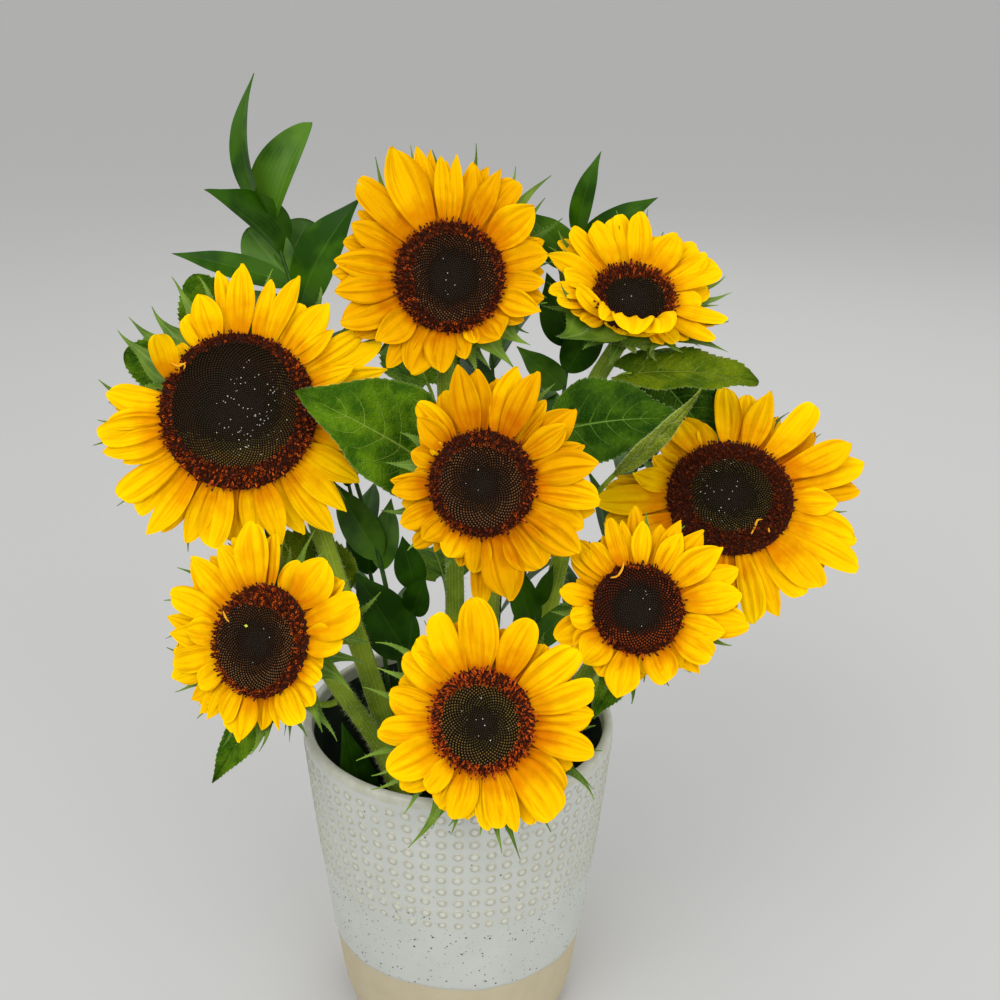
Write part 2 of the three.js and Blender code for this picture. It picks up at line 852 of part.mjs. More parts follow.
// Leaves set round a twig by the golden angle, leaning out and up, with the last one at its tip.
function leavesByRule(line, { leaves, from, length, width }, seed) {
  const { lean, lastLean, lastRoot, faceUp, faceIn, vary } = SPRIG;
  const top = line.at(-1).z - lastRoot;
  return Array.from({ length: leaves }, (_, i) => {
    const { point, along } = atHeight(line, mix(from, top, i / (leaves - 1)));
    const turn = i * GOLDEN_ANGLE + vary.turn * scatter(seed, i, 21);
    const out = new THREE.Vector3(Math.cos(turn), Math.sin(turn), 0);
    const heading = along.clone().addScaledVector(out, i === leaves - 1 ? lastLean : lean).normalize();
    const size = 1 + vary.size * scatter(seed, i, 22);
    const face = along.clone().multiplyScalar(faceUp).addScaledVector(out, -faceIn);
    return {
      root: point,
      tip: point.clone().addScaledVector(heading, length * size),
      width: width * size,
      face,
      bow: SPRIG.bow,
    };
  });
}

function leavesByHand(line, leaves) {
  return leaves.map(({ height, tip, width, face, bow = SPRIG.bow }) => {
    return { root: atHeight(line, height).point, tip: vec(tip), width, face: vec(face).normalize(), bow };
  });
}

function makeSprig(sprig, seed) {
  const line = centreline(sprig.foot, sprig.way.map(vec), SPRIG.steps);
  const up = new THREE.Vector3(0, 0, 1);
  const end = line.at(-1).clone().sub(line.at(-2)).normalize();
  const radiusAt = (t) => mix(SPRIG.radius, SPRIG.tipRadius, t);
  const rows = sprig.rule ? leavesByRule(line, sprig.rule, seed) : leavesByHand(line, sprig.leaves);
  const pieces = [limb(line, SPRIG.sides, radiusAt, up, end), ...rows.map(sprigLeaf)];
  return part(sprig.name, fuse(pieces), 0x2c6a1d, 0.4);
}

function makeHead(head, seed) {
  const { right, up, out } = faceAxes(head);
  const group = new THREE.Group();
  group.position.set(...head.centre);
  group.quaternion.setFromRotationMatrix(new THREE.Matrix4().makeBasis(right, up, out));
  group.add(makeDisc(head), makeRays(head, seed), makeCalyx(head, seed));
  return group;
}

const group = new THREE.Group();
group.add(makePot(), makeFill());
HEADS.forEach((head, i) => group.add(makeStem(head), makeHead(head, i + 1)));
LEAVES.forEach((leaf) => group.add(makeLeaf(leaf)));
SPRIGS.forEach((sprig, i) => group.add(makeSprig(sprig, i + 31)));

export default group;
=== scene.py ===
"""The looks of a bunch of cut sunflowers with leaves and greenery in a dotted glazed pot.

Sizes are in millimetres until a mesh is made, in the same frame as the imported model.
"""
import math

import bpy
import numpy as np
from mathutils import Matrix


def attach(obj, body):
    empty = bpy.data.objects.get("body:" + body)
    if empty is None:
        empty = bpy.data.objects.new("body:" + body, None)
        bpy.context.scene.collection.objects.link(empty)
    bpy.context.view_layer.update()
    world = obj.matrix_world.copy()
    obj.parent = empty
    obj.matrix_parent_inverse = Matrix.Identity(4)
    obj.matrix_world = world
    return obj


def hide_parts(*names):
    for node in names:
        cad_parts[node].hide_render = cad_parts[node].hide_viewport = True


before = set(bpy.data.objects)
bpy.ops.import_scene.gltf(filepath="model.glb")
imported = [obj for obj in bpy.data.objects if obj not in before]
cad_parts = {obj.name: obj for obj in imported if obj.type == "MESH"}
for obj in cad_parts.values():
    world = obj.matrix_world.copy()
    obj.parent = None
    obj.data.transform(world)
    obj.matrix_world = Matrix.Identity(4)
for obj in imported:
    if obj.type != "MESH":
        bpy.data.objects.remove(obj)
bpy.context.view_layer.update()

MM = 0.001
GOLDEN_ANGLE = math.radians(137.508)
# Where the photograph's camera stands.
EYE = (0, -585, 523)

# The plant's own sizes, as in the part's source: where a flower's disc lies and how wide it is, how far
# it looks up and to the side, and, with values for its right, top, left and bottom, the lift of its rays
# at their roots and the length of its short bracts. curl is how far its rays bend on.
HEADS = {
    "left": dict(
        centre=(-103.8, 0, 334.3), disc=74.5, rise=24, turn=2,
        lift=(0, 2, 3, -5), curl=-6, bracts=(36, 36, 40, 36),
    ),
    "top": dict(
        centre=(-3.8, 30, 391.5), disc=53.4, rise=22, turn=5,
        lift=(16, 12, 13, 18), curl=-10, bracts=(32, 38, 35, 30),
    ),
    "upper_right": dict(
        centre=(86.5, 45, 377.9), disc=40.8, rise=48, turn=6,
        lift=(12, 24, 22, 10), curl=-8, bracts=(36, 32, 38, 24),
    ),
    "centre": dict(
        centre=(10.6, -50, 316.6), disc=47.6, rise=16, turn=-8,
        lift=(2, 4, 6, 0), curl=-8, bracts=(28, 28, 24, 28),
    ),
    "right": dict(
        centre=(135.1, 15, 284.6), disc=62.1, rise=47, turn=-8,
        lift=(-8, -6, -8, -8), curl=-6, bracts=(33, 33, 33, 33),
    ),
    "lower_left": dict(
        centre=(-89.7, -62, 245), disc=51.2, rise=27, turn=-30,
        lift=(-4, -2, 0, 0), curl=-8, bracts=(33, 33, 36, 32),
    ),
    "front": dict(
        centre=(10.4, -98, 224.7), disc=45.9, rise=21, turn=-13,
        lift=(4, 6, 4, 6), curl=-8, bracts=(34, 30, 32, 44),
    ),
    "lower_right": dict(
        centre=(79.8, -68, 264.2), disc=40.8, rise=32, turn=-2,
        lift=(8, 8, 10, 6), curl=-10, bracts=(27, 30, 26, 22),
    ),
}

# A stem's foot, radius and way up to the back of its flower.
STEMS = {
    "left": ((-20, -2), 5.8, ((-37, -12, 170), (-57, -4, 238), (-82, 22, 298))),
    "top": ((-6, 24), 5.4, ((-2, 26, 180), (-2, 28, 250), (-6, 50, 330))),
    "upper_right": ((26, 24), 5.2, ((42, 24, 190), (54, 30, 250), (66, 48, 325))),
    "centre": ((12, -4), 5.4, ((14, 0, 180), (17, 4, 250))),
    "right": ((45, 8), 5.8, ((62, 13, 170), (104, 32, 225))),
    "lower_left": ((-14, -26), 5, ((-38, -32, 168), (-58, -34, 205))),
    "front": ((2, -42), 5.2, ((8, -44, 150), (15, -52, 190))),
    "lower_right": ((30, -24), 5, ((50, -26, 180), (70, -28, 222))),
}

# A leaf's stem, its height there, its heel and tip, the way its blade faces, its width and its bow.
LEAVES = {
    "left_of_centre": ("top", 292, (-16, 0, 309), (-74, -20, 350), (-0.1, -0.75, 0.65), 44, 5),
    "right_of_centre": ("upper_right", 300, (52, 16, 320), (108, 4, 329), (0, -0.75, 0.65), 44, 6),
    "curled": ("upper_right", 275, (74, -8, 305), (110, -22, 352), (0.5, -0.75, 0.4), 11, 3),
    "under_upper_right": ("upper_right", 322, (84, 36, 342), (147, 26, 341), (0, -0.55, 0.83), 33, 5),
    "low_under_upper_right": ("upper_right", 290, (102, 74, 333), (136, 52, 296), (0, -0.9, 0.45), 42, 3),
    "below_lower_left": ("lower_left", 200, (-92, -38, 200), (-122, -38, 153), (-0.2, -0.9, 0.4), 19, 3),
    "far_left_upper": ("left", 300, (-114, 46, 352), (-129, 44, 390), (-0.1, -0.9, 0.3), 34, 3),
    "far_left_lower": ("left", 285, (-128, 44, 338), (-165, 38, 352), (-0.2, -0.9, 0.3), 32, 3),
    "right_rim": ("lower_right", 205, (78, -38, 224), (61, -58, 201), (0.5, -0.7, 0.5), 18, 3),
    "under_left": ("left", 226, (-63, 8, 236), (-96, 10, 270), (0.1, -0.9, 0.4), 40, 3),
    "back_top": ("top", 300, (-16, 84, 322), (-34, 136, 334), (0, -0.3, 0.95), 42, 7),
    "back_upper_right": ("upper_right", 262, (70, 82, 290), (86, 130, 296), (0, -0.3, 0.95), 40, 7),
    "back_left": ("left", 275, (-84, 50, 290), (-122, 88, 294), (0, -0.2, 0.98), 40, 7),
    "back_right": ("right", 200, (104, 52, 216), (142, 88, 214), (0, -0.2, 0.98), 38, 7),
    "back_low": ("top", 205, (-8, 60, 220), (-18, 110, 212), (0, -0.2, 0.98), 40, 8),
}

# A sprig's foot and way, and its leaves: each one's height on the twig, tip, width and facing, and where
# they aren't the common ones, its bow, how much of its two halves shows and its outline. A rule sets the
# others round the twig: how many, from what height, how long and how wide. tone is the finish of all its
# leaves, and tones gives that of single ones.
SPRIG_BOW = 0.12
SPRIGS = {
    "upper_left": dict(
        tones={2: 3, 6: 0},
        foot=(-18, 16), way=((-38, 15, 242), (-51, 27, 286), (-79, 50, 374), (-86, 54, 394), (-93, 58, 416)),
        leaves=(
            (414, (-97, 62, 482), 21, (-0.8, -0.6, 0), 0.3, (1, 0.8)),
            (410, (-71, 70, 459), 29, (-0.4, -0.9, 0.1), 0.16, (1.25, 0.25), "round"),
            (398, (-120, 40, 431), 31, (0.3, -0.7, 0.7), 0.2, (0.15, 1.2), "broad"),
            (386, (-105, 66, 408), 25, (0, -1, 0.2), SPRIG_BOW, (1, 1), "round"),
            (390, (-76, 80, 410), 24, (0, -1, 0.2), SPRIG_BOW, (1, 1), "round"),
            (372, (-47, 46, 426), 27, (-0.5, -0.8, 0.3), 0.2),
            (382, (-140, 50, 399), 14, (0, -0.8, 0.6)), (250, (-62, 26, 288), 19, (0.2, -1, 0)),
            (246, (-34, 30, 278), 15, (-0.2, -1, 0)), (340, (-52, 92, 352), 20, (0, -0.3, 1)),
            (356, (-112, 88, 372), 20, (0, -0.3, 1)),
        ),
    ),
    "upper_right": dict(
        foot=(14, 44), way=((38, 44, 246), (56, 75, 320), (62, 91, 402)),
        leaves=(
            (398, (72, 88, 443), 13, (-0.6, -0.8, 0), 0.2), (394, (103, 94, 419), 16, (0, -0.6, 0.8)),
            (386, (33, 74, 416), 20, (0, -1, 0.2)), (345, (45, 72, 385), 22, (0, -1, 0.1)),
            (322, (30, 62, 349), 15, (0.2, -1, 0)), (330, (76, 78, 366), 20, (0, -1, 0.2)),
            (300, (40, 112, 318), 20, (0, -0.3, 1)), (370, (70, 120, 388), 20, (0, -0.3, 1)),
        ),
    ),
    "mid_left": dict(
        tone=3, foot=(-30, 14), way=((-28, 10, 170), (-24, 10, 214), (-20, 12, 250)),
        leaves=(
            (198, (-52, 10, 246), 28, (0.3, -1, 0.2)), (222, (-16, -2, 250), 15, (-0.3, -1, 0.2)),
            (236, (-28, 14, 264), 16, (0, -1, 0.2)), (160, (-22, -2, 206), 18, (-0.2, -1, 0.2)),
        ),
    ),
    "mid_right": dict(
        foot=(30, 4), way=((32, -6, 170), (36, -8, 215), (40, -6, 238)),
        leaves=(
            (236, (46, -16, 262), 8, (-0.2, -1, 0.2)), (212, (62, -2, 240), 14, (0, -1, 0.2)),
            (222, (28, 0, 256), 15, (0, -1, 0.2)),
        ),
    ),
    "back_left": dict(
        foot=(-32, 36), way=((-44, 56, 200), (-60, 78, 268), (-72, 92, 316)), rule=(9, 190, 48, 19),
    ),
    "back_middle": dict(
        foot=(4, 48), way=((22, 60, 190), (22, 92, 280), (16, 112, 360)), rule=(11, 195, 50, 20),
    ),
    "back_right": dict(
        foot=(44, 38), way=((52, 42, 168), (84, 70, 235), (106, 100, 290)), rule=(9, 180, 48, 19),
    ),
    # The leaf in the pot takes the dark tone partly as painted shade.
    "in_pot": dict(
        tone=3, foot=(-40, -14), way=((-46, -22, 110), (-48, -27, 122)),
        leaves=((114, (-57, -32, 184), 20, (0.5, -1, 0)),),
    ),
}
# The height at which stems and twigs stand in the pot, and the gap between one part and the next.
FILL_TOP = 82
SEAT_GAP = 0.3
# How thick a disc is behind its centre, and the plate that holds its rays.
DISC_THICK, PLATE_THICK = 1.5, 3


def scatter(a, b, c=0):
    """A repeatable number from -1 to 1 for the given keys."""
    v = math.sin(a * 12.9898 + b * 78.233 + c * 37.719) * 43758.5453
    return 2 * (v - math.floor(v)) - 1


def around(angle, sizes):
    """A size that changes smoothly round a face, from its values at the right, top, left and bottom."""
    right, top, left, bottom = sizes
    across, along = math.cos(angle), math.sin(angle)
    return across**2 * (right if across > 0 else left) + along**2 * (top if along > 0 else bottom)


def unit(v):
    """Vectors with their lengths brought to 1."""
    v = np.asarray(v, float)
    return v / np.linalg.norm(v, axis=-1, keepdims=True)


def turns(count):
    """Even angles once round."""
    return np.linspace(0, 2 * math.pi, count, endpoint=False)


def polar(radius, angle, height=0.0):
    """A point at an angle round an axis."""
    return np.array([radius * math.cos(angle), radius * math.sin(angle), height])


def circle(radius, angles, height):
    """A ring of points round an axis. The radius and the height may change from one to the next."""
    return np.stack(np.broadcast_arrays(radius * np.cos(angles), radius * np.sin(angles), height), 1)


def fan(count, first=0):
    """Triangles from a ring of points to the point that follows it."""
    return [(first + i, first + (i + 1) % count, first + count) for i in range(count)]


def walls(count, rings):
    """Triangles between rings of points, from each ring to the next."""
    faces = []
    for first in range(0, count * rings, count):
        for i in range(count):
            p, q = first + i, first + (i + 1) % count
            faces += [(p, q, q + count), (p, q + count, p + count)]
    return faces


# Meshes


class Bits:
    """Small shapes gathered into the mesh of one piece.

    paints are the places of its faces' finishes in its list of materials. blade runs across and along each
    sheet, and cells are its places in a second map, named OFBake.
    """

    def __init__(self):
        self.points, self.loops, self.sizes, self.paints, self.blade, self.cells = [], [], [], [], [], []
        self.count = 0

    def add(self, points, faces, paint, blade=None, cells=None):
        """Adds faces that are given by the numbers of their points."""
        points = np.asarray(points, float).reshape(-1, 3)
        faces = np.asarray(faces)
        self.points.append(points)
        self.loops.append((faces + self.count).ravel())
        self.sizes.append(np.full(len(faces), faces.shape[1]))
        self.paints.append(np.broadcast_to(np.asarray(paint), (len(faces),)))
        self.blade.append(np.zeros((faces.size, 2)) if blade is None else blade.reshape(-1, 2))
        self.cells.append(np.zeros((faces.size, 2)) if cells is None else cells.reshape(-1, 2))
        self.count += len(points)

    def sheet(self, grid, paint=0, cell=(0, 0, 1, 1), closed=False, number=0):
        """A grid of points, in rows from the root to the tip. closed joins its last column to its first.

        number is the whole part of its blade's place across, to tell it from its neighbours.
        """
        rows, cols = grid.shape[:2]
        wide = cols if closed else cols - 1
        j, i = np.meshgrid(np.arange(rows - 1), np.arange(wide), indexing="ij")
        beside = (i + 1) % cols
        corners = (j * cols + i, j * cols + beside, (j + 1) * cols + beside, (j + 1) * cols + i)
        u = np.stack([i, i + 1, i + 1, i], -1) / wide
        v = np.stack([j, j, j + 1, j + 1], -1) / (rows - 1)
        blade = np.stack([u, v], -1).reshape(-1, 4, 2)
        cells = np.array(cell[:2]) + blade * np.array(cell[2:])
        blade[..., 0] = number + 0.002 + 0.996 * blade[..., 0]
        self.add(grid, np.stack(corners, -1).reshape(-1, 4), paint, blade, cells)

    def cap(self, ring, peak, paint=0):
        """Triangles from a ring of points to a peak."""
        self.add(np.vstack([ring, [peak]]), fan(len(ring)), paint)

    def copies(self, shape, places, paint=0):
        """One small shape at many places. A place is three axes, with their lengths, and an origin."""
        points, faces = shape
        n, k = len(places), len(points)
        spread = np.einsum("ka,nac->nkc", points, places[:, :3]) + places[:, 3:4]
        index = (np.arange(n)[:, None, None] * k + faces[None]).reshape(-1, faces.shape[1])
        self.add(spread, index, np.broadcast_to(np.asarray(paint), (n, len(faces))).ravel())


def make(name, bits, paints, nodes=(), smooth=True):
    """Turns gathered bits into a piece that rides on the plant and stands for the given nodes."""
    mesh = bpy.data.meshes.new(name)
    points, loops = np.concatenate(bits.points) * MM, np.concatenate(bits.loops)
    sizes = np.concatenate(bits.sizes)
    mesh.vertices.add(len(points))
    mesh.vertices.foreach_set("co", points.ravel())
    mesh.loops.add(len(loops))
    mesh.loops.foreach_set("vertex_index", loops.astype(np.int32))
    mesh.polygons.add(len(sizes))
    mesh.polygons.foreach_set("loop_start", np.concatenate([[0], np.cumsum(sizes)[:-1]]).astype(np.int32))
    mesh.polygons.foreach_set("material_index", np.concatenate(bits.paints).astype(np.int32))
    mesh.polygons.foreach_set("use_smooth", np.full(len(sizes), smooth))
    for title, values in (("blade", bits.blade), ("OFBake", bits.cells)):
        values = np.concatenate(values)
        if values.any():
            mesh.uv_layers.new(name=title).data.foreach_set("uv", values.ravel())
    mesh.update(calc_edges=True)
    mesh.validate()
    for paint in paints:
        mesh.materials.append(paint)
    obj = bpy.data.objects.new(name, mesh)
    bpy.context.scene.collection.objects.link(obj)
    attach(obj, "root")
    if nodes:
        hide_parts(*nodes)


def cell_of(index, count, share=1, margin=0.04):
    """One of count equal cells of the OFBake map, or of the left share of it."""
    side = math.ceil(math.sqrt(count))
    size = 1 / side
    wide = size * (1 - 2 * margin)
    return (index % side + margin) * size * share, (index // side + margin) * size, wide * share, wide


# Curves


def through(points, count):
    """Evenly spaced points on a smooth curve through the given ones."""
    p = [np.asarray(q, float) for q in points]
    p = [2 * p[0] - p[1], *p, 2 * p[-1] - p[-2]]
    fine = []
    for a, b, c, d in zip(p, p[1:], p[2:], p[3:]):
        ab, bc, cd = (max(np.linalg.norm(y - x) ** 0.5, 1e-4) for x, y in ((a, b), (b, c), (c, d)))
        start = ((b - a) / ab - (c - a) / (ab + bc) + (c - b) / bc) * bc
        end = ((c - b) / bc - (d - b) / (bc + cd) + (d - c) / cd) * bc
        t = np.linspace(0, 1, 41)[:, None]
        fine.append(
            b + start * t + (3 * c - 3 * b - 2 * start - end) * t**2 + (2 * b - 2 * c + start + end) * t**3
        )
    fine = np.concatenate(fine)
    run = np.concatenate([[0], np.cumsum(np.linalg.norm(np.diff(fine, axis=0), axis=1))])
    keep = np.concatenate([[True], np.diff(run) > 1e-9])
    at = np.linspace(0, run[-1], count)
    return np.stack([np.interp(at, run[keep], fine[keep, k]) for k in range(3)], 1)


def rings(line):
    """Two axes across a line at each of its points, turned as little as the line allows."""
    along = unit(np.gradient(line, axis=0))
    side = unit(np.cross(along[0], (0.0, 1.0, 0.0)))
    sides = []
    for a in along:
        side = unit(side - a * (side @ a))
        sides.append(side)
    sides = np.array(sides)
    return sides, np.cross(along, sides)


def tube(line, radii, sides, ribs=0, rib=0.0):
    """A grid round a line. ribs raises that many ridges along it, by a share of its radius."""
    a, b = (axis[:, None] for axis in rings(line))
    t = turns(sides)
    r = np.asarray(radii)[:, None] * (1 + rib * np.cos(ribs * t))
    return line[:, None] + r[..., None] * (np.cos(t)[:, None] * a + np.sin(t)[:, None] * b)


def axes_of(head):
    """A flower's face: its right, its up and the way it looks."""
    turn, rise = math.radians(head["turn"]), math.radians(head["rise"])
    out = np.array([math.sin(turn) * math.cos(rise), -math.cos(turn) * math.cos(rise), math.sin(rise)])
    right = unit(np.cross((0, 0, 1), out))
    return np.array([right, np.cross(out, right), out])


def depths(head):
    """The heights in a head's face of the front and back of its ray plate and of its green cup."""
    radius = head["disc"] / 2
    plate = -DISC_THICK - SEAT_GAP
    bowl = plate - PLATE_THICK - SEAT_GAP
    return plate, plate - PLATE_THICK, bowl, bowl - (6 + 0.32 * radius)


def stem_line(name, count):
    """The middle of a stem, from the fill up into the back of its flower."""
    foot, _, way = STEMS[name]
    head = HEADS[name]
    out = axes_of(head)[2]
    end = np.array(head["centre"]) + out * (depths(head)[3] - SEAT_GAP)
    return through([(*foot, FILL_TOP + SEAT_GAP), *way, end - 20 * out, end], count)


def stem_radius(name, t):
    """A stem's radius at shares of its length."""
    return STEMS[name][1] * (1.06 - 0.22 * np.sin(math.pi / 2 * t))


# Finishes


def tint(red, green, blue):
    """A linear colour from one as it shows on a screen, 0 to 255."""
    def linear(c):
        c /= 255
        return c / 12.92 if c <= 0.04045 else ((c + 0.055) / 1.055) ** 2.4
    return (linear(red), linear(green), linear(blue), 1)


class Value:
    """A value in a node tree, which adds and multiplies as a plain number does."""

    def __init__(self, nodes, socket):
        self.nodes, self.socket = nodes, socket

    def __add__(self, other):
        return self.nodes.math("ADD", self, other)

    def __sub__(self, other):
        return self.nodes.math("SUBTRACT", self, other)

    def __rsub__(self, other):
        return self.nodes.math("SUBTRACT", other, self)

    def __mul__(self, other):
        return self.nodes.math("MULTIPLY", self, other)

    def __rtruediv__(self, other):
        return self.nodes.math("DIVIDE", other, self)

    def __pow__(self, other):
        return self.nodes.math("POWER", self, other)

    def __abs__(self):
        return self.nodes.math("ABSOLUTE", self)


class Nodes:
    """A node tree that is built in few words."""

    def __init__(self, tree):
        self.tree = tree

    def join(self, value, socket):
        """Leads a value to a socket, or sets the socket to a plain number or colour."""
        if isinstance(value, Value):
            self.tree.links.new(value.socket, socket)
        else:
            socket.default_value = value

    def add(self, kind, inputs=None, **settings):
        """A new node with its settings and inputs. Returns the values that it puts out."""
        node = self.tree.nodes.new("ShaderNode" + kind)
        for key, value in settings.items():
            setattr(node, key, value)
        for key, value in (inputs or {}).items():
            self.join(value, node.inputs[key])
        return [Value(self, socket) for socket in node.outputs]

    def math(self, operation, *values, clamp=False):
        return self.add("Math", dict(enumerate(values)), operation=operation, use_clamp=clamp)[0]

    def mix(self, share, first, second):
        """first where share is 0, second where it is 1."""
        return self.add("Mix", {0: share, 6: first, 7: second}, data_type="RGBA")[2]

    def between(self, value, low, high):
        """0 below low and 1 above high, with a soft step between them."""
        limits = {0: value, 1: low, 2: high, 3: 0.0, 4: 1.0}
        return self.add("MapRange", limits, interpolation_type="SMOOTHSTEP")[0]

    def place(self):
        """The place on the piece."""
        return self.add("TexCoord")[3]

    def noise(self, place, scale, detail, roughness=0.5):
        inputs = {"Vector": place, "Scale": scale, "Detail": detail, "Roughness": roughness}
        return self.add("TexNoise", inputs)[0]


def mottling(n, given):
    """Soft blotches between two colours, over the surface in millimetres."""
    noise = n.noise(n.place(), 1 / MM / given["Size"], 4.0, 0.6)
    share = n.between(noise, 0.5 - given["Spread"], given["Spread"] + 0.5)
    return n.mix(share, given["Deep"], given["Pale"]), noise


def petal_lines(n, given):
    """A ray from its root to its tip: orange at the root, partly its own tint and partly painted shade, with
    uneven darker streaks along it that are painted shade in its creases.
    """
    blade = n.add("SeparateXYZ", {0: given["Blade"]})
    number, across, along = n.math("FLOOR", blade[0]), n.math("FRACT", blade[0]), blade[1]
    wander = n.noise(n.place(), 0.12 / MM, 2.0)
    chance = n.add("TexWhiteNoise", {"W": number}, noise_dimensions="1D")[0]
    rise = along + (wander - 0.5) * 0.5 + (chance - 0.5) * 0.16
    # The orange root is partly the ray's own tint and partly painted shade where the rays crowd at the disc.
    body = n.mix(n.between(rise, -0.05, given["Root length"]), given["Root"], given["Middle"])
    body = n.mix(n.between(rise, 0.5, 1.0), body, given["Tip"])
    # The streaks take the darker Line colour as painted shade in the creases, and they also lower the relief
    # there.
    streaks = n.add("CombineXYZ", {0: across * 8.0, 1: along * 0.9, 2: number * 3.7})[0]
    line = n.between(n.noise(streaks, 1.0, 3.0, 0.6), 0.5, 0.66)
    line = line * (1.0 - n.between(along, 0.35, 1.0) * 0.75) * given["Strength"]
    return n.mix(line, body, given["Line"]), 1.0 - line


def blade_place(n, given):
    """A place on a leaf: its share of the way from the midrib to the edge, and from the root to the tip."""
    blade = n.add("SeparateXYZ", {0: given["Blade"]})
    return abs((n.math("FRACT", blade[0]) - 0.5) * 2.0), blade[1]


def blotched_flesh(n, given, place, scale, detail):
    """A leaf's two greens in soft blotches."""
    return n.mix(n.between(n.noise(place, scale, detail), 0.35, 0.65), given["Deep"], given["Flesh"])


def vein_lines(n, given):
    """A leaf's midrib, its side veins that sweep forward, and the fine net between them."""
    half, along = blade_place(n, given)
    place = n.place()
    arch = half * 0.6 + half**2.0 * 0.4
    ahead = along - arch * given["Sweep"] + (n.noise(place, 0.1 / MM, 2.0) - 0.5) * 0.045
    off = abs(n.math("FRACT", ahead * given["Pairs"]) - 0.5)
    thin = (1.25 - half) * given["Width"]
    side_vein = (1.0 - n.between(off, thin * 0.3, thin)) * (1.0 - n.between(half, 0.55, 0.95))
    side_vein = n.math("MULTIPLY", side_vein, 0.75 - n.between(along, 0.7, 0.9), clamp=True)
    thick = (0.95 - along * 0.7) * given["Width"]
    vein = n.math("MAXIMUM", side_vein, 1.0 - n.between(half, thick * 0.35, thick))
    edges = n.add("TexVoronoi", {"Vector": place, "Scale": 0.38 / MM}, feature="DISTANCE_TO_EDGE")[0]
    net = (1.0 - n.between(edges, 0.0, 0.14)) * given["Net"]
    flesh = n.mix(net * 0.22, blotched_flesh(n, given, place, 0.09 / MM, 3.0), given["Vein"])
    pale = n.math("MAXIMUM", vein, n.between(half, 0.93, 1.0) * given["Edge"])
    return n.mix(pale, flesh, given["Vein"]), 1.0 - n.math("MAXIMUM", vein, net)


def fine_lines(n, given):
    """Close parallel lines along a smooth leaf, which meet at its ends."""
    half, _ = blade_place(n, given)
    wave = n.math("SINE", half * given["Lines"] * (2 * math.pi))
    line = ((wave + 1.0) * 0.5) ** 5.0
    rib = (1.0 - n.between(half, 0.02, 0.07)) * given["Rib strength"]
    flesh = blotched_flesh(n, given, n.place(), 0.06 / MM, 2.0)
    flesh = n.mix(line * given["Strength"], flesh, given["Rib"])
    return n.mix(rib, flesh, given["Rib"]), 1.0 - n.math("MAXIMUM", line, rib)


def group(build, colours, numbers, blade=True):
    """A shader node group from a function that makes its colour and its height out of its named inputs."""
    tree = bpy.data.node_groups.new(build.__name__, "ShaderNodeTree")
    inputs = [("Blade", "Vector")] * blade + [(name, "Color") for name in colours]
    for name, kind in inputs + [(name, "Float") for name in numbers]:
        tree.interface.new_socket(name, in_out="INPUT", socket_type="NodeSocket" + kind)
    for name, kind in (("Color", "Color"), ("Height", "Float")):
        tree.interface.new_socket(name, in_out="OUTPUT", socket_type="NodeSocket" + kind)
    n = Nodes(tree)
    given = {socket.name: Value(n, socket) for socket in tree.nodes.new("NodeGroupInput").outputs}
    end = tree.nodes.new("NodeGroupOutput").inputs
    for value, socket in zip(build(n, given), end):
        n.join(value, socket)
    return tree


EFFECTS = {
    "mottling": group(mottling, ("Pale", "Deep"), ("Size", "Spread"), blade=False),
    "petal_lines": group(petal_lines, ("Root", "Middle", "Tip", "Line"), ("Strength", "Root length")),
    "vein_lines": group(vein_lines, ("Flesh", "Deep", "Vein"), ("Pairs", "Sweep", "Width", "Net", "Edge")),
    "fine_lines": group(fine_lines, ("Flesh", "Deep", "Rib"), ("Lines", "Strength", "Rib strength")),
}


def finish(name, roughness, gloss, colour=None, effect=None, bump=0.0, relief=0.3, **values):
    """A material: a plain colour, or one of the effects with its own tints and numbers."""
    material = bpy.data.materials.new(name)
    material.use_nodes = True
    shader = material.node_tree.nodes["Principled BSDF"].inputs
    shader["Roughness"].default_value = roughness
    shader["Specular IOR Level"].default_value = gloss
    material.diffuse_color = tint(*colour) if colour else (0.5, 0.5, 0.5, 1)
    if colour:
        shader["Base Color"].default_value = tint(*colour)
        return material
    n = Nodes(material.node_tree)
    inputs = {key.replace("_", " "): tint(*v) if isinstance(v, tuple) else v for key, v in values.items()}
    if effect != "mottling":
        inputs["Blade"] = n.add("UVMap", uv_map="blade")[0]
    shown, height = n.add("Group", inputs, node_tree=EFFECTS[effect])
    n.join(shown, shader["Base Color"])
    if bump:
        lift = n.add("Bump", {"Strength": bump, "Distance": relief * MM, "Height": height})
        n.join(lift[0], shader["Normal"])
    return material


def mottled(name, pale, deep, size, spread, roughness, gloss, bump=0.0, relief=0.3):
    return finish(
        name, roughness, gloss, None, "mottling", bump, relief, Pale=pale, Deep=deep, Size=size, Spread=spread
    )


def lined(name, flesh, deep, rib, lines, roughness, gloss, bump):
    count, strength, rib_strength = lines
    return finish(
        name, roughness, gloss, None, "fine_lines", bump, Flesh=flesh, Deep=deep, Rib=rib,
        Lines=count, Strength=strength, Rib_strength=rib_strength,
    )


def veined(name, flesh, deep, vein, width=0.04, edge=0.4):
    return finish(
        name, 0.55, 0.05, None, "vein_lines", 0.9, 0.5, Flesh=flesh, Deep=deep, Vein=vein,
        Pairs=7.0, Sweep=0.34, Width=width, Net=0.7, Edge=edge,
    )


def streaked(name, root, middle, tip, line):
    return finish(
        name, 0.7, 0.015, None, "petal_lines", 0.4, Root=root, Middle=middle, Tip=tip, Line=line,
        Strength=0.62, Root_length=0.45,
    )


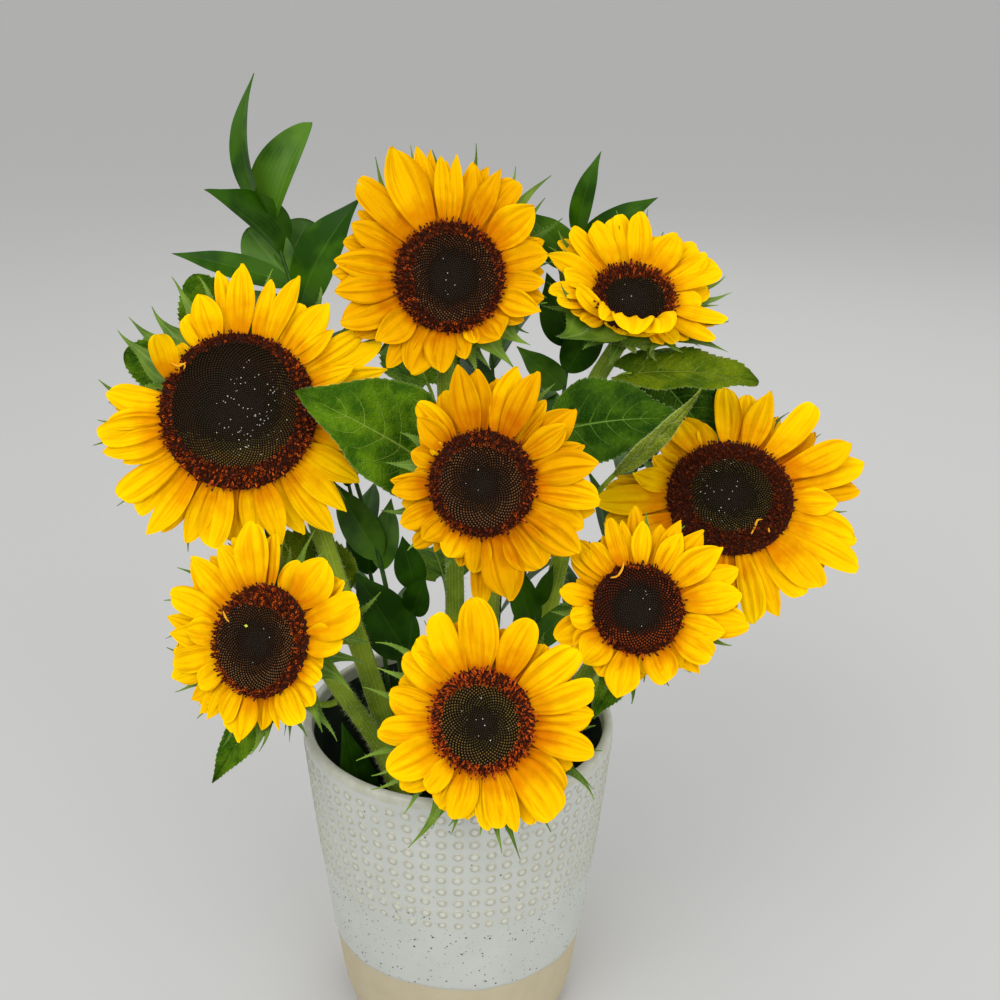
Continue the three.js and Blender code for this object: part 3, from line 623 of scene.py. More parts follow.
# Three tints of the rays. Besides differing at random, the deep tint serves as painted shade and the bright
# one as painted light.
PETAL_GOLD = streaked("petal_gold", (206, 116, 0), (240, 184, 0), (246, 199, 0), (200, 122, 0))
PETAL_DEEP_AND_SHADED = streaked("petal_deep_and_shaded", (188, 98, 0), (224, 162, 0), (234, 182, 0), (180, 102, 0))
PETAL_BRIGHT_AND_LIT = streaked("petal_bright_and_lit", (212, 130, 0), (243, 192, 0), (248, 206, 0), (208, 136, 0))

DISC_TINTS = {
    "bud_dark": (30, 21, 12), "bud_charcoal": (54, 46, 37),
    "olive_faint": (52, 45, 27), "olive": (84, 72, 36), "olive_clear": (116, 98, 48),
    "brown_faint": (56, 37, 24), "brown": (86, 54, 30), "tan_clear": (122, 86, 52),
    "floret_maroon": (94, 37, 15), "floret_rust": (158, 66, 19), "floret_ember": (240, 112, 26),
    "floret_tip": (60, 26, 15), "floret_shade": (50, 22, 12),
    "pollen": (218, 216, 200), "strand": (236, 166, 36), "bright_grain": (212, 216, 80),
}
DISC_PAINTS = [finish(title, 0.7, 0.08, rgb) for title, rgb in DISC_TINTS.items()]
(
    DARK, CHARCOAL, OLIVE_FAINT, OLIVE, OLIVE_CLEAR, BROWN_FAINT, BROWN, TAN_CLEAR, MAROON, RUST, EMBER, TIP,
    SHADE, DUST, THREAD, LIME,
) = range(len(DISC_PAINTS))
OLIVE_STEPS = (CHARCOAL, OLIVE_FAINT, OLIVE, OLIVE_CLEAR)
BROWN_STEPS = (CHARCOAL, BROWN_FAINT, BROWN, TAN_CLEAR)
RUST_STEPS = (CHARCOAL, BROWN_FAINT, MAROON, RUST)

CALYX_GREEN = mottled("calyx_green", (98, 128, 36), (58, 92, 14), 6.0, 0.25, 0.6, 0.2, 0.3)
BRACT_GREEN = lined(
    "bract_green", (108, 138, 34), (66, 100, 14), (146, 168, 84), (2.0, 0.2, 0.5), 0.55, 0.2, 0.2
)
STEM_GREEN = lined(
    "stem_green", (142, 164, 38), (104, 132, 22), (178, 192, 92), (9.0, 0.3, 0.0), 0.55, 0.12, 0.4
)
HAIR = finish("stem_hair", 0.7, 0.2, (198, 206, 160))
LEAF_GREEN = veined("leaf_green", (90, 126, 8), (44, 84, 0), (128, 154, 56))
LEAF_DARK = veined("leaf_dark", (62, 96, 6), (28, 62, 0), (104, 138, 50))
LEAF_OLIVE = veined("leaf_olive", (100, 118, 4), (58, 86, 0), (134, 150, 56))
LEAF_UNDER = veined("leaf_underside", (140, 154, 46), (104, 124, 16), (186, 200, 130), 0.07, 1.0)
FAINT_LINES = (8.0, 0.08, 0.16)
SMOOTH_GREEN = lined("smooth_green", (52, 92, 4), (26, 62, 0), (92, 130, 40), FAINT_LINES, 0.38, 0.09, 0.12)
SMOOTH_PALE = lined("smooth_pale", (72, 112, 20), (42, 80, 4), (110, 146, 58), FAINT_LINES, 0.4, 0.13, 0.12)
# A darker smooth green. On the leaf in the pot it is also painted shade.
SMOOTH_DARK = lined("smooth_dark", (40, 78, 4), (22, 54, 0), (80, 108, 30), FAINT_LINES, 0.4, 0.08, 0.12)
TWIG_GREEN = mottled("twig_green", (60, 96, 26), (34, 66, 12), 7.0, 0.2, 0.45, 0.25)
GLAZE = mottled("glaze", (190, 194, 187), (180, 184, 177), 22.0, 0.4, 0.3, 0.35, 0.05)
GLAZE_LIP = mottled("glaze_lip", (190, 192, 180), (174, 173, 154), 7.0, 0.3, 0.32, 0.35, 0.1)
DOT_RIDGE = mottled("dot_ridge", (187, 186, 171), (164, 161, 141), 3.0, 0.3, 0.35, 0.35)
CLAY = mottled("clay", (189, 178, 150), (180, 169, 140), 10.0, 0.4, 0.75, 0.2, 0.15)
DOT_PALE = mottled("dot_pale", (199, 202, 194), (190, 193, 185), 3.0, 0.3, 0.3, 0.35)
SPECK = finish("iron_speck", 0.4, 0.5, (52, 44, 38))
# The inside of the pale pot is painted dark in soft blotches, as painted shade.
POT_INSIDE_SHADE = mottled("pot_inside_shade", (44, 52, 42), (20, 27, 20), 14.0, 0.3, 0.5, 0.2)
FILL_DARK = mottled("fill_dark", (40, 48, 34), (18, 23, 15), 4.0, 0.3, 0.85, 0.2, 0.6, 1.0)

# The pot's outline as curves of three points, by radius and height, from its foot up, over its lip and down
# inside it. AXIS is the smallest radius of a turned face.
AXIS, POT_FLOOR = 0.05, 9
FOOT_EDGE = ((57.2, 0), (57.9, 0.3))
FOOT_CURVE = ((58.2, 1), (63.6, 9), (65.4, 30))
SIDE_CURVE = ((65.4, 30), (73, 85), (80, 167.5))
LIP_CURVES = (((80, 167.5), (80, 170), (77.5, 170)), ((77.5, 170), (75, 170), (75, 167.5)))
INSIDE_CURVES = (((75, 167.5), (68, 85), (60.4, 30)), ((60.4, 30), (60.4, POT_FLOOR), (48.2, POT_FLOOR)))
LIP_START = 165
INSIDE_START = (74.6, 163)
# How high the glaze begins, and how far it stands out from the clay.
GLAZE_LINE, GLAZE_DEPTH = 49.0, 0.35
# The raised dots: how many round the pot and in how many rows, and their size.
DOTS_ROUND, DOT_ROWS = 60, 10
DOTS_TOP, DOT_PITCH, DOT_RADIUS = 160.0, 7.3, 2.75
# How many specks there are, and the middle and half the height of the bands below and among the dots.
SPECK_COUNT = 1300
LOW_SPECKS, HIGH_SPECKS = (75, 25), (118, 45)


def quadratic(a, b, c, count):
    """Points on a curve from a to c that heads for b on its way."""
    t = np.linspace(0, 1, count)[:, None]
    a, b, c = (np.asarray(p, float) for p in (a, b, c))
    return (1 - t) ** 2 * a + 2 * t * (1 - t) * b + t**2 * c


WALL = np.vstack([quadratic(*FOOT_CURVE, 14), quadratic(*SIDE_CURVE, 60)[1:]])


def wall_radius(z):
    """The radius of the pot's outside at a height."""
    return np.interp(z, WALL[:, 1], WALL[:, 0])


def pot():
    """The pot as one turned wall, in bands: clay foot, glaze, tinted lip and an inside painted dark as shade.
    """
    bits = Bits()
    t = turns(192)
    glaze_edge = GLAZE_LINE + 0.9 * np.sin(3 * t + 0.8) + 0.5 * np.sin(7 * t + 2) + 0.25 * np.sin(19 * t)

    def band(profile, paint, low, high):
        """One turned band from its radii and heights, which may change round the pot."""
        grid = np.array([circle(r, t, z) for r, z in profile])
        bits.sheet(grid, paint, (0.01, low, 0.98, high), closed=True)

    foot = [(AXIS, 0), *FOOT_EDGE, FOOT_CURVE[0]]
    clay = 1 + (glaze_edge - 1) * np.linspace(0, 1, 20)[1:, None]
    band(foot + [(wall_radius(z) - GLAZE_DEPTH, z) for z in clay], 1, 0.01, 0.2)
    glazed = glaze_edge + 0.5 + (LIP_START - glaze_edge - 0.5) * np.linspace(0, 1, 60)[:, None]
    step = [(wall_radius(glaze_edge) - GLAZE_DEPTH, glaze_edge)]
    band(step + [(wall_radius(z), z) for z in glazed], 0, 0.23, 0.4)
    lip = [(wall_radius(z), z) for z in (LIP_START, LIP_START + 1.2)] + [SIDE_CURVE[2]]
    for curve in LIP_CURVES:
        lip += list(quadratic(*curve, 7)[1:])
    band(lip + [INSIDE_START], 2, 0.65, 0.12)
    # The inside band, painted dark as shade.
    wall, bottom = quadratic(*INSIDE_CURVES[0], 30), quadratic(*INSIDE_CURVES[1], 8)[1:]
    band([INSIDE_START, *wall[wall[:, 1] < INSIDE_START[1]], *bottom, (AXIS, POT_FLOOR)], 3, 0.79, 0.2)
    specks(bits)
    make("pot_wall", bits, [GLAZE, CLAY, GLAZE_LIP, POT_INSIDE_SHADE, SPECK], ["pot"])


def on_wall(angle, z):
    """A place on the pot's outside: its axes round, up and out, and its point."""
    slope = (wall_radius(z + 1) - wall_radius(z - 1)) / 2
    round_it = np.array([-math.sin(angle), math.cos(angle), 0])
    up = unit(polar(slope, angle, 1))
    return np.array([round_it, up, np.cross(round_it, up), polar(wall_radius(z), angle, z)])


def specks(bits):
    """Iron specks in the glaze, most of them below the dots."""
    shape = (np.array([polar(1, a) for a in turns(7)] + [(0, 0, 0.3)]), np.array(fan(7)))
    places = []
    for k in range(SPECK_COUNT):
        (middle, reach), key = (LOW_SPECKS, 1) if k % 4 else (HIGH_SPECKS, 2)
        place = on_wall(math.pi * scatter(k, 3, 5), middle + reach * scatter(k, key, 5))
        size = 0.19 + 0.34 * abs(scatter(k, 4, 5)) ** 3 + 0.1 * (k % 7 == 0)
        place[:3] *= size
        place[3] += place[2] * 0.1
        places.append(place)
    bits.copies(shape, np.array(places), 4)


def pot_dots():
    """Raised rings with a pale middle, in rows round the pot. The lowest row fades."""
    bits = Bits()
    sides = 16
    profile = [(1.0, -0.06), (0.86, 0.2), (0.7, 0.3), (0.5, 0.12), (0.25, 0.22)]
    points = [polar(r, a, h) for r, h in profile for a in turns(sides)] + [(0, 0, 0.28)]
    faces = walls(sides, 4) + fan(sides, 4 * sides)
    paints = np.repeat([1, 2], [6 * sides, 3 * sides])
    places = []
    for row in range(DOT_ROWS):
        spread, rise = (0.85, 0.55) if row == DOT_ROWS - 1 else (1, 1)
        for column in range(DOTS_ROUND):
            z = DOTS_TOP - DOT_PITCH * row + 0.25 * scatter(row, column, 1)
            place = on_wall(2 * math.pi * (column + 0.04 * scatter(row, column, 2)) / DOTS_ROUND, z)
            place[:2] *= DOT_RADIUS * (1 + 0.06 * scatter(row, column, 3)) * spread
            place[2] *= 1.6 * rise
            places.append(place)
    bits.copies((np.array(points), np.array(faces)), np.array(places), paints[None])
    make("pot_dots", bits, [GLAZE, DOT_RIDGE, DOT_PALE])


def fill():
    """The dark fill round the stems' feet, lumpy on top."""
    bits = Bits()
    t = turns(96)
    bottom, top, wide = 9.3, 81.2, 65.8
    profile = [(47.5, bottom), (57, 16.5), (59.4, 30), (63.5, 60), (wide, 79)]
    profile += [(wide * share, top) for share in np.linspace(0.98, 0.03, 24)]
    rows = []
    for k, (r, z) in enumerate(profile):
        lump = 0.7 if z == top else 0
        rows.append(circle(r, t, [z + lump * scatter(k, i, 9) for i in range(len(t))]))
    bits.sheet(np.array(rows), closed=True)
    bits.cap(rows[-1], (0, 0, top))
    bits.cap(rows[0][::-1], (0, 0, bottom))
    make("fill_top", bits, [FILL_DARK], ["fill"])


# Stems, leaves and greenery

HAIR_SHAPE = (np.array([(1, 0, 0), (-0.5, 0.87, 0), (-0.5, -0.87, 0), (0, 0, 1)]), np.array(fan(3)))
HAIRS_PER_STEM = 1500
# How long and how thick hairs are, and how much they stray.
STEM_HAIRS, LEAF_HAIRS, BRACT_HAIRS = (2.0, 0.07, 0.5), (0.9, 0.06, 0.3), (1.0, 0.07, 0.35)


def hair_places(points, normals, seed, length, thickness, stray):
    """A fine hair at each point, along its normal with some stray."""
    places = []
    for k, (p, normal) in enumerate(zip(points, normals)):
        way = unit(normal + stray * np.array([scatter(seed, k, c) for c in (1, 2, 3)]))
        side = unit(np.cross(way, (0.3, 0.5, 0.8)))
        long = length * (1 + 0.4 * scatter(seed, k, 4))
        places.append([side * thickness, np.cross(way, side) * thickness, way * long, p - normal * 0.1])
    return np.array(places)


def stems():
    """The ribbed stems, and the hairs of their upper parts as one piece."""
    hairs = Bits()
    rows, sides = 72, 36
    for seed, name in enumerate(STEMS):
        line = stem_line(name, rows)
        grid = tube(line, stem_radius(name, np.linspace(0, 1, rows)) * 0.98, sides, ribs=9, rib=0.035)
        middle = line[:, None]
        rough = np.array([[0.012 * scatter(seed, j * 0.37, i) for i in range(sides)] for j in range(rows)])
        grid = middle + (grid - middle) * (1 + rough[..., None])
        bits = Bits()
        bits.sheet(grid, 0, (0.01, 0.01, 0.98, 0.98), closed=True)
        make("stem_relief_" + name, bits, [STEM_GREEN], ["stem_" + name])
        spots, normals = [], []
        for k in range(HAIRS_PER_STEM):
            j, up_it = divmod((rows - 2) * (0.32 + 0.68 * abs(scatter(seed, k, 6))), 1)
            i, round_it = divmod(sides * abs(scatter(seed, k, 7)), 1)
            j, i, beside = int(j), int(i) % sides, (int(i) + 1) % sides
            low = grid[j, i] * (1 - round_it) + grid[j, beside] * round_it
            high = grid[j + 1, i] * (1 - round_it) + grid[j + 1, beside] * round_it
            spots.append(low * (1 - up_it) + high * up_it)
            normals.append(unit(low - line[j]))
        hairs.copies(HAIR_SHAPE, hair_places(spots, normals, seed + 50, *STEM_HAIRS))
    make("stem_hairs", hairs, [HAIR])


def half_outline(s, outline, start):
    """Half a leaf's breadth along it, as a share of its width.

    An outline is how far forward the widest place lies, how slim the leaf is, and how much it is drawn in
    between start and its tip.
    """
    skew, slimness, drawn = outline
    late = np.clip((s - start) / (1 - start), 0, 1)
    inward = drawn * late**2 * (3 - 2 * late)
    return 0.5 * np.sin(math.pi * np.clip(s, 0, 1) ** skew) ** slimness * (1 - inward)


def leaf_axes(heel, tip, face):
    """The way a leaf points, its side and its upper side, when it looks towards face."""
    direction = unit(np.asarray(tip, float) - heel)
    side = unit(np.cross(unit(face), direction))
    return direction, side, np.cross(direction, side)


def quilt(half, along, pairs, sweep):
    """The relief of a leaf: grooves at its veins and soft swells between them."""
    ahead = along - sweep * (0.6 * half + 0.4 * half**2)
    off = np.abs((ahead * pairs) % 1 - 0.5)
    swell = np.sin(math.pi * np.clip(off * 2, 0, 1)) * np.sin(math.pi * np.clip(half, 0, 1)) ** 0.7
    rib = np.exp(-((half / 0.07) ** 2))
    return 0.9 * swell - 0.8 * rib


# How many teeth a leaf has on each side and how far they stand out, as a share of its width.
TEETH = {"left_of_centre": (17, 0.012), "curled": (14, 0.03), "right_of_centre": (20, 0.024)}
COMMON_TEETH = (18, 0.03)
# The outlines of the leaves. Some end round, their tips being turned away.
COMMON_OUTLINE = (0.52, 0.72, 0.3)
BLUNT_OUTLINE = (0.66, 0.5, 0.0)
LEAF_OUTLINES = {
    "curled": (0.75, 0.85, 0.3), "far_left_upper": BLUNT_OUTLINE, "far_left_lower": BLUNT_OUTLINE,
    "under_upper_right": BLUNT_OUTLINE, "low_under_upper_right": BLUNT_OUTLINE,
}
# How wide a leaf's upper and lower halves are against the common size.
HALVES = {"left_of_centre": (1.3, 1.12), "under_upper_right": (0.8, 0.8)}
LEAF_TINTS = {
    "right_of_centre": LEAF_DARK, "low_under_upper_right": LEAF_DARK, "under_left": LEAF_OLIVE,
    "under_upper_right": LEAF_OLIVE, "curled": LEAF_UNDER,
}


def sunflower_leaf(name, number):
    """One toothed leaf with swells between its veins, its stalk and a fringe of hairs."""
    stem, height, heel, tip, face, width, bow = LEAVES[name]
    heel, tip = np.array(heel, float), np.array(tip, float)
    direction, side, up = leaf_axes(heel, tip, face)
    length = np.linalg.norm(tip - heel)
    rows, cols = 109, 25
    s = np.linspace(0.004, 1, rows)[:, None]
    u = np.linspace(-1, 1, cols)[None]
    rib = quadratic(heel, (heel + tip) / 2 + 2 * bow * up, tip, rows)
    half = np.maximum(width * half_outline(s, LEAF_OUTLINES.get(name, COMMON_OUTLINE), 0.5), 0.35)
    teeth, stand = TEETH.get(name, COMMON_TEETH)
    saw = (s * teeth) % 1
    tooth = np.where((s > 0.1) & (s < 0.93), (saw - 0.35) * stand * width, 0) * np.abs(u) ** 6
    upper, lower = HALVES.get(name, (1, 1))
    x = u * half * np.where(u > 0, lower, upper) + np.sign(u) * tooth
    lobes = 0 if name == "curled" else 0.13
    ahead = tooth * 0.6 - lobes * length * (1 - s) ** 5 * np.abs(u) ** 1.4
    ripple = 0.035 * width * np.sin(s * 17 + 3 * np.sign(u) + number) * np.abs(u) ** 3
    z = 0.16 * np.abs(x) - 0.0016 * x**2 + ripple + 1.1 * quilt(np.abs(u), s, 7, 0.3)
    z = z - 0.25 * length * np.clip(s - 0.8, 0, 1) ** 2
    grid = rib[:, None] + x[..., None] * side + z[..., None] * up + ahead[..., None] * direction
    bits = Bits()
    bits.sheet(grid, 0, (0.02, 0.02, 0.8, 0.96))
    bits.sheet(leaf_stalk(stem, height, heel, direction), 1, (0.85, 0.02, 0.12, 0.96), closed=True)
    for edge in (0, -1):
        spots = grid[2:-2, edge]
        ways = unit(spots - grid[2:-2, cols // 2])
        bits.copies(HAIR_SHAPE, hair_places(spots, ways, number * 2 + edge, *LEAF_HAIRS), 2)
    paints = [LEAF_TINTS.get(name, LEAF_GREEN), STEM_GREEN, HAIR]
    make("leaf_blade_" + name, bits, paints, ["leaf_" + name])


def leaf_stalk(stem, height, heel, direction):
    """A grooved stalk from the stem's surface to the leaf's heel."""
    count = 200
    line = stem_line(stem, count)
    k = at_height(line, height)
    base = line[k]
    along = unit(line[k + 1] - line[k - 1])
    away = heel - base
    away = unit(away - along * (away @ along))
    start = base + away * (stem_radius(stem, k / (count - 1)) + SEAT_GAP)
    reach = 0.4 * np.linalg.norm(heel - start)
    t = np.linspace(0, 1, 16)[:, None]
    line = (
        (1 - t) ** 3 * start + 3 * t * (1 - t) ** 2 * (start + away * reach)
        + 3 * t**2 * (1 - t) * (heel - direction * reach) + t**3 * (heel + direction * 2)
    )
    return tube(line, np.linspace(1.6, 1.0, 16), 10, ribs=2, rib=0.12)


# The outlines of the smooth leaves.
SMOOTH_OUTLINES = {"drawn": (0.74, 0.76, 0.4), "broad": (0.56, 0.66, 0.4), "round": (0.9, 0.56, 0.0)}


def sprig_leaf(bits, root, tip, width, face, bow, folded, outline, paint, seed, cell):
    """A smooth pointed leaf, folded along its midrib. folded tells how much of each half shows."""
    root, tip = np.array(root, float), np.array(tip, float)
    _, side, up = leaf_axes(root, tip, face)
    rows, cols = 37, 15
    s = np.linspace(0.01, 1, rows)[:, None]
    u = np.linspace(-1, 1, cols)[None]
    rib = quadratic(root, (root + tip) / 2 + bow * np.linalg.norm(tip - root) * up, tip, rows)
    half = np.maximum(width * half_outline(s, SMOOTH_OUTLINES[outline], 0.66), 0.12)
    x = u * half * np.where(u > 0, *folded)
    wave = 0.03 * width * np.sin(s * 5 + seed) * u**2
    z = 0.12 * np.abs(x) + wave - 0.25 * np.exp(-((u / 0.12) ** 2))
    twist = 0.12 * math.sin(seed * 2.1) * (s - 0.3)
    bits.sheet(rib[:, None] + x[..., None] * side + (z + twist * x)[..., None] * up, paint, cell)


def at_height(line, height):
    """The number of a line's point that is nearest to a height."""
    return int(np.argmin(np.abs(line[:, 2] - height)))


def rule_leaves(line, rule, seed):
    """Leaves set round a twig by the golden angle."""
    count, low, length, width = rule
    high = line[-1][2] - 4
    leaves = []
    for i in range(count):
        k = at_height(line, low + (high - low) * i / (count - 1))
        along = unit(line[min(k + 1, len(line) - 1)] - line[k - 1])
        across = polar(1, i * math.radians(137.5) + 0.4 * scatter(seed, i, 21))
        out = unit(across - along * (across @ along))
        heading = unit(along + out * (0.25 if i == count - 1 else 1))
        size = 1 + 0.12 * scatter(seed, i, 22)
        leaves.append((line[k], line[k] + heading * length * size, width * size, along * 0.8 - out * 0.6))
    return leaves


def sprig(name, number):
    """A twig of greenery with its leaves."""
    facts = SPRIGS[name]
    seed = number + 31
    line = through([(*facts["foot"], FILL_TOP + SEAT_GAP), *facts["way"]], 120)
    bits = Bits()
    twig = tube(line, np.linspace(1.6, 0.8, 120), 8)[::3]
    bits.sheet(twig, 2, (0.9, 0.02, 0.08, 0.96), closed=True)
    bits.cap(twig[-1], line[-1] + unit(line[-1] - line[-5]) * 0.5, 2)
    if "rule" in facts:
        leaves = rule_leaves(line, facts["rule"], seed)
    else:
        leaves = [(line[at_height(line, height)], *shape) for height, *shape in facts["leaves"]]
    common = (SPRIG_BOW, (1, 1), "drawn")
    for i, (root, tip, width, face, *own) in enumerate(leaves):
        paint = facts.get("tone", 1 if scatter(seed, i, 3) > 0.3 else 0)
        paint = facts.get("tones", {}).get(i, paint)
        shape = (root, tip, width, face, *own, *common[len(own):])
        sprig_leaf(bits, *shape, paint, seed + i, cell_of(i, len(leaves), 0.88))
    paints = [SMOOTH_GREEN, SMOOTH_PALE, TWIG_GREEN, SMOOTH_DARK]
    make("greenery_" + name, bits, paints, ["sprig_" + name])


# Flowers

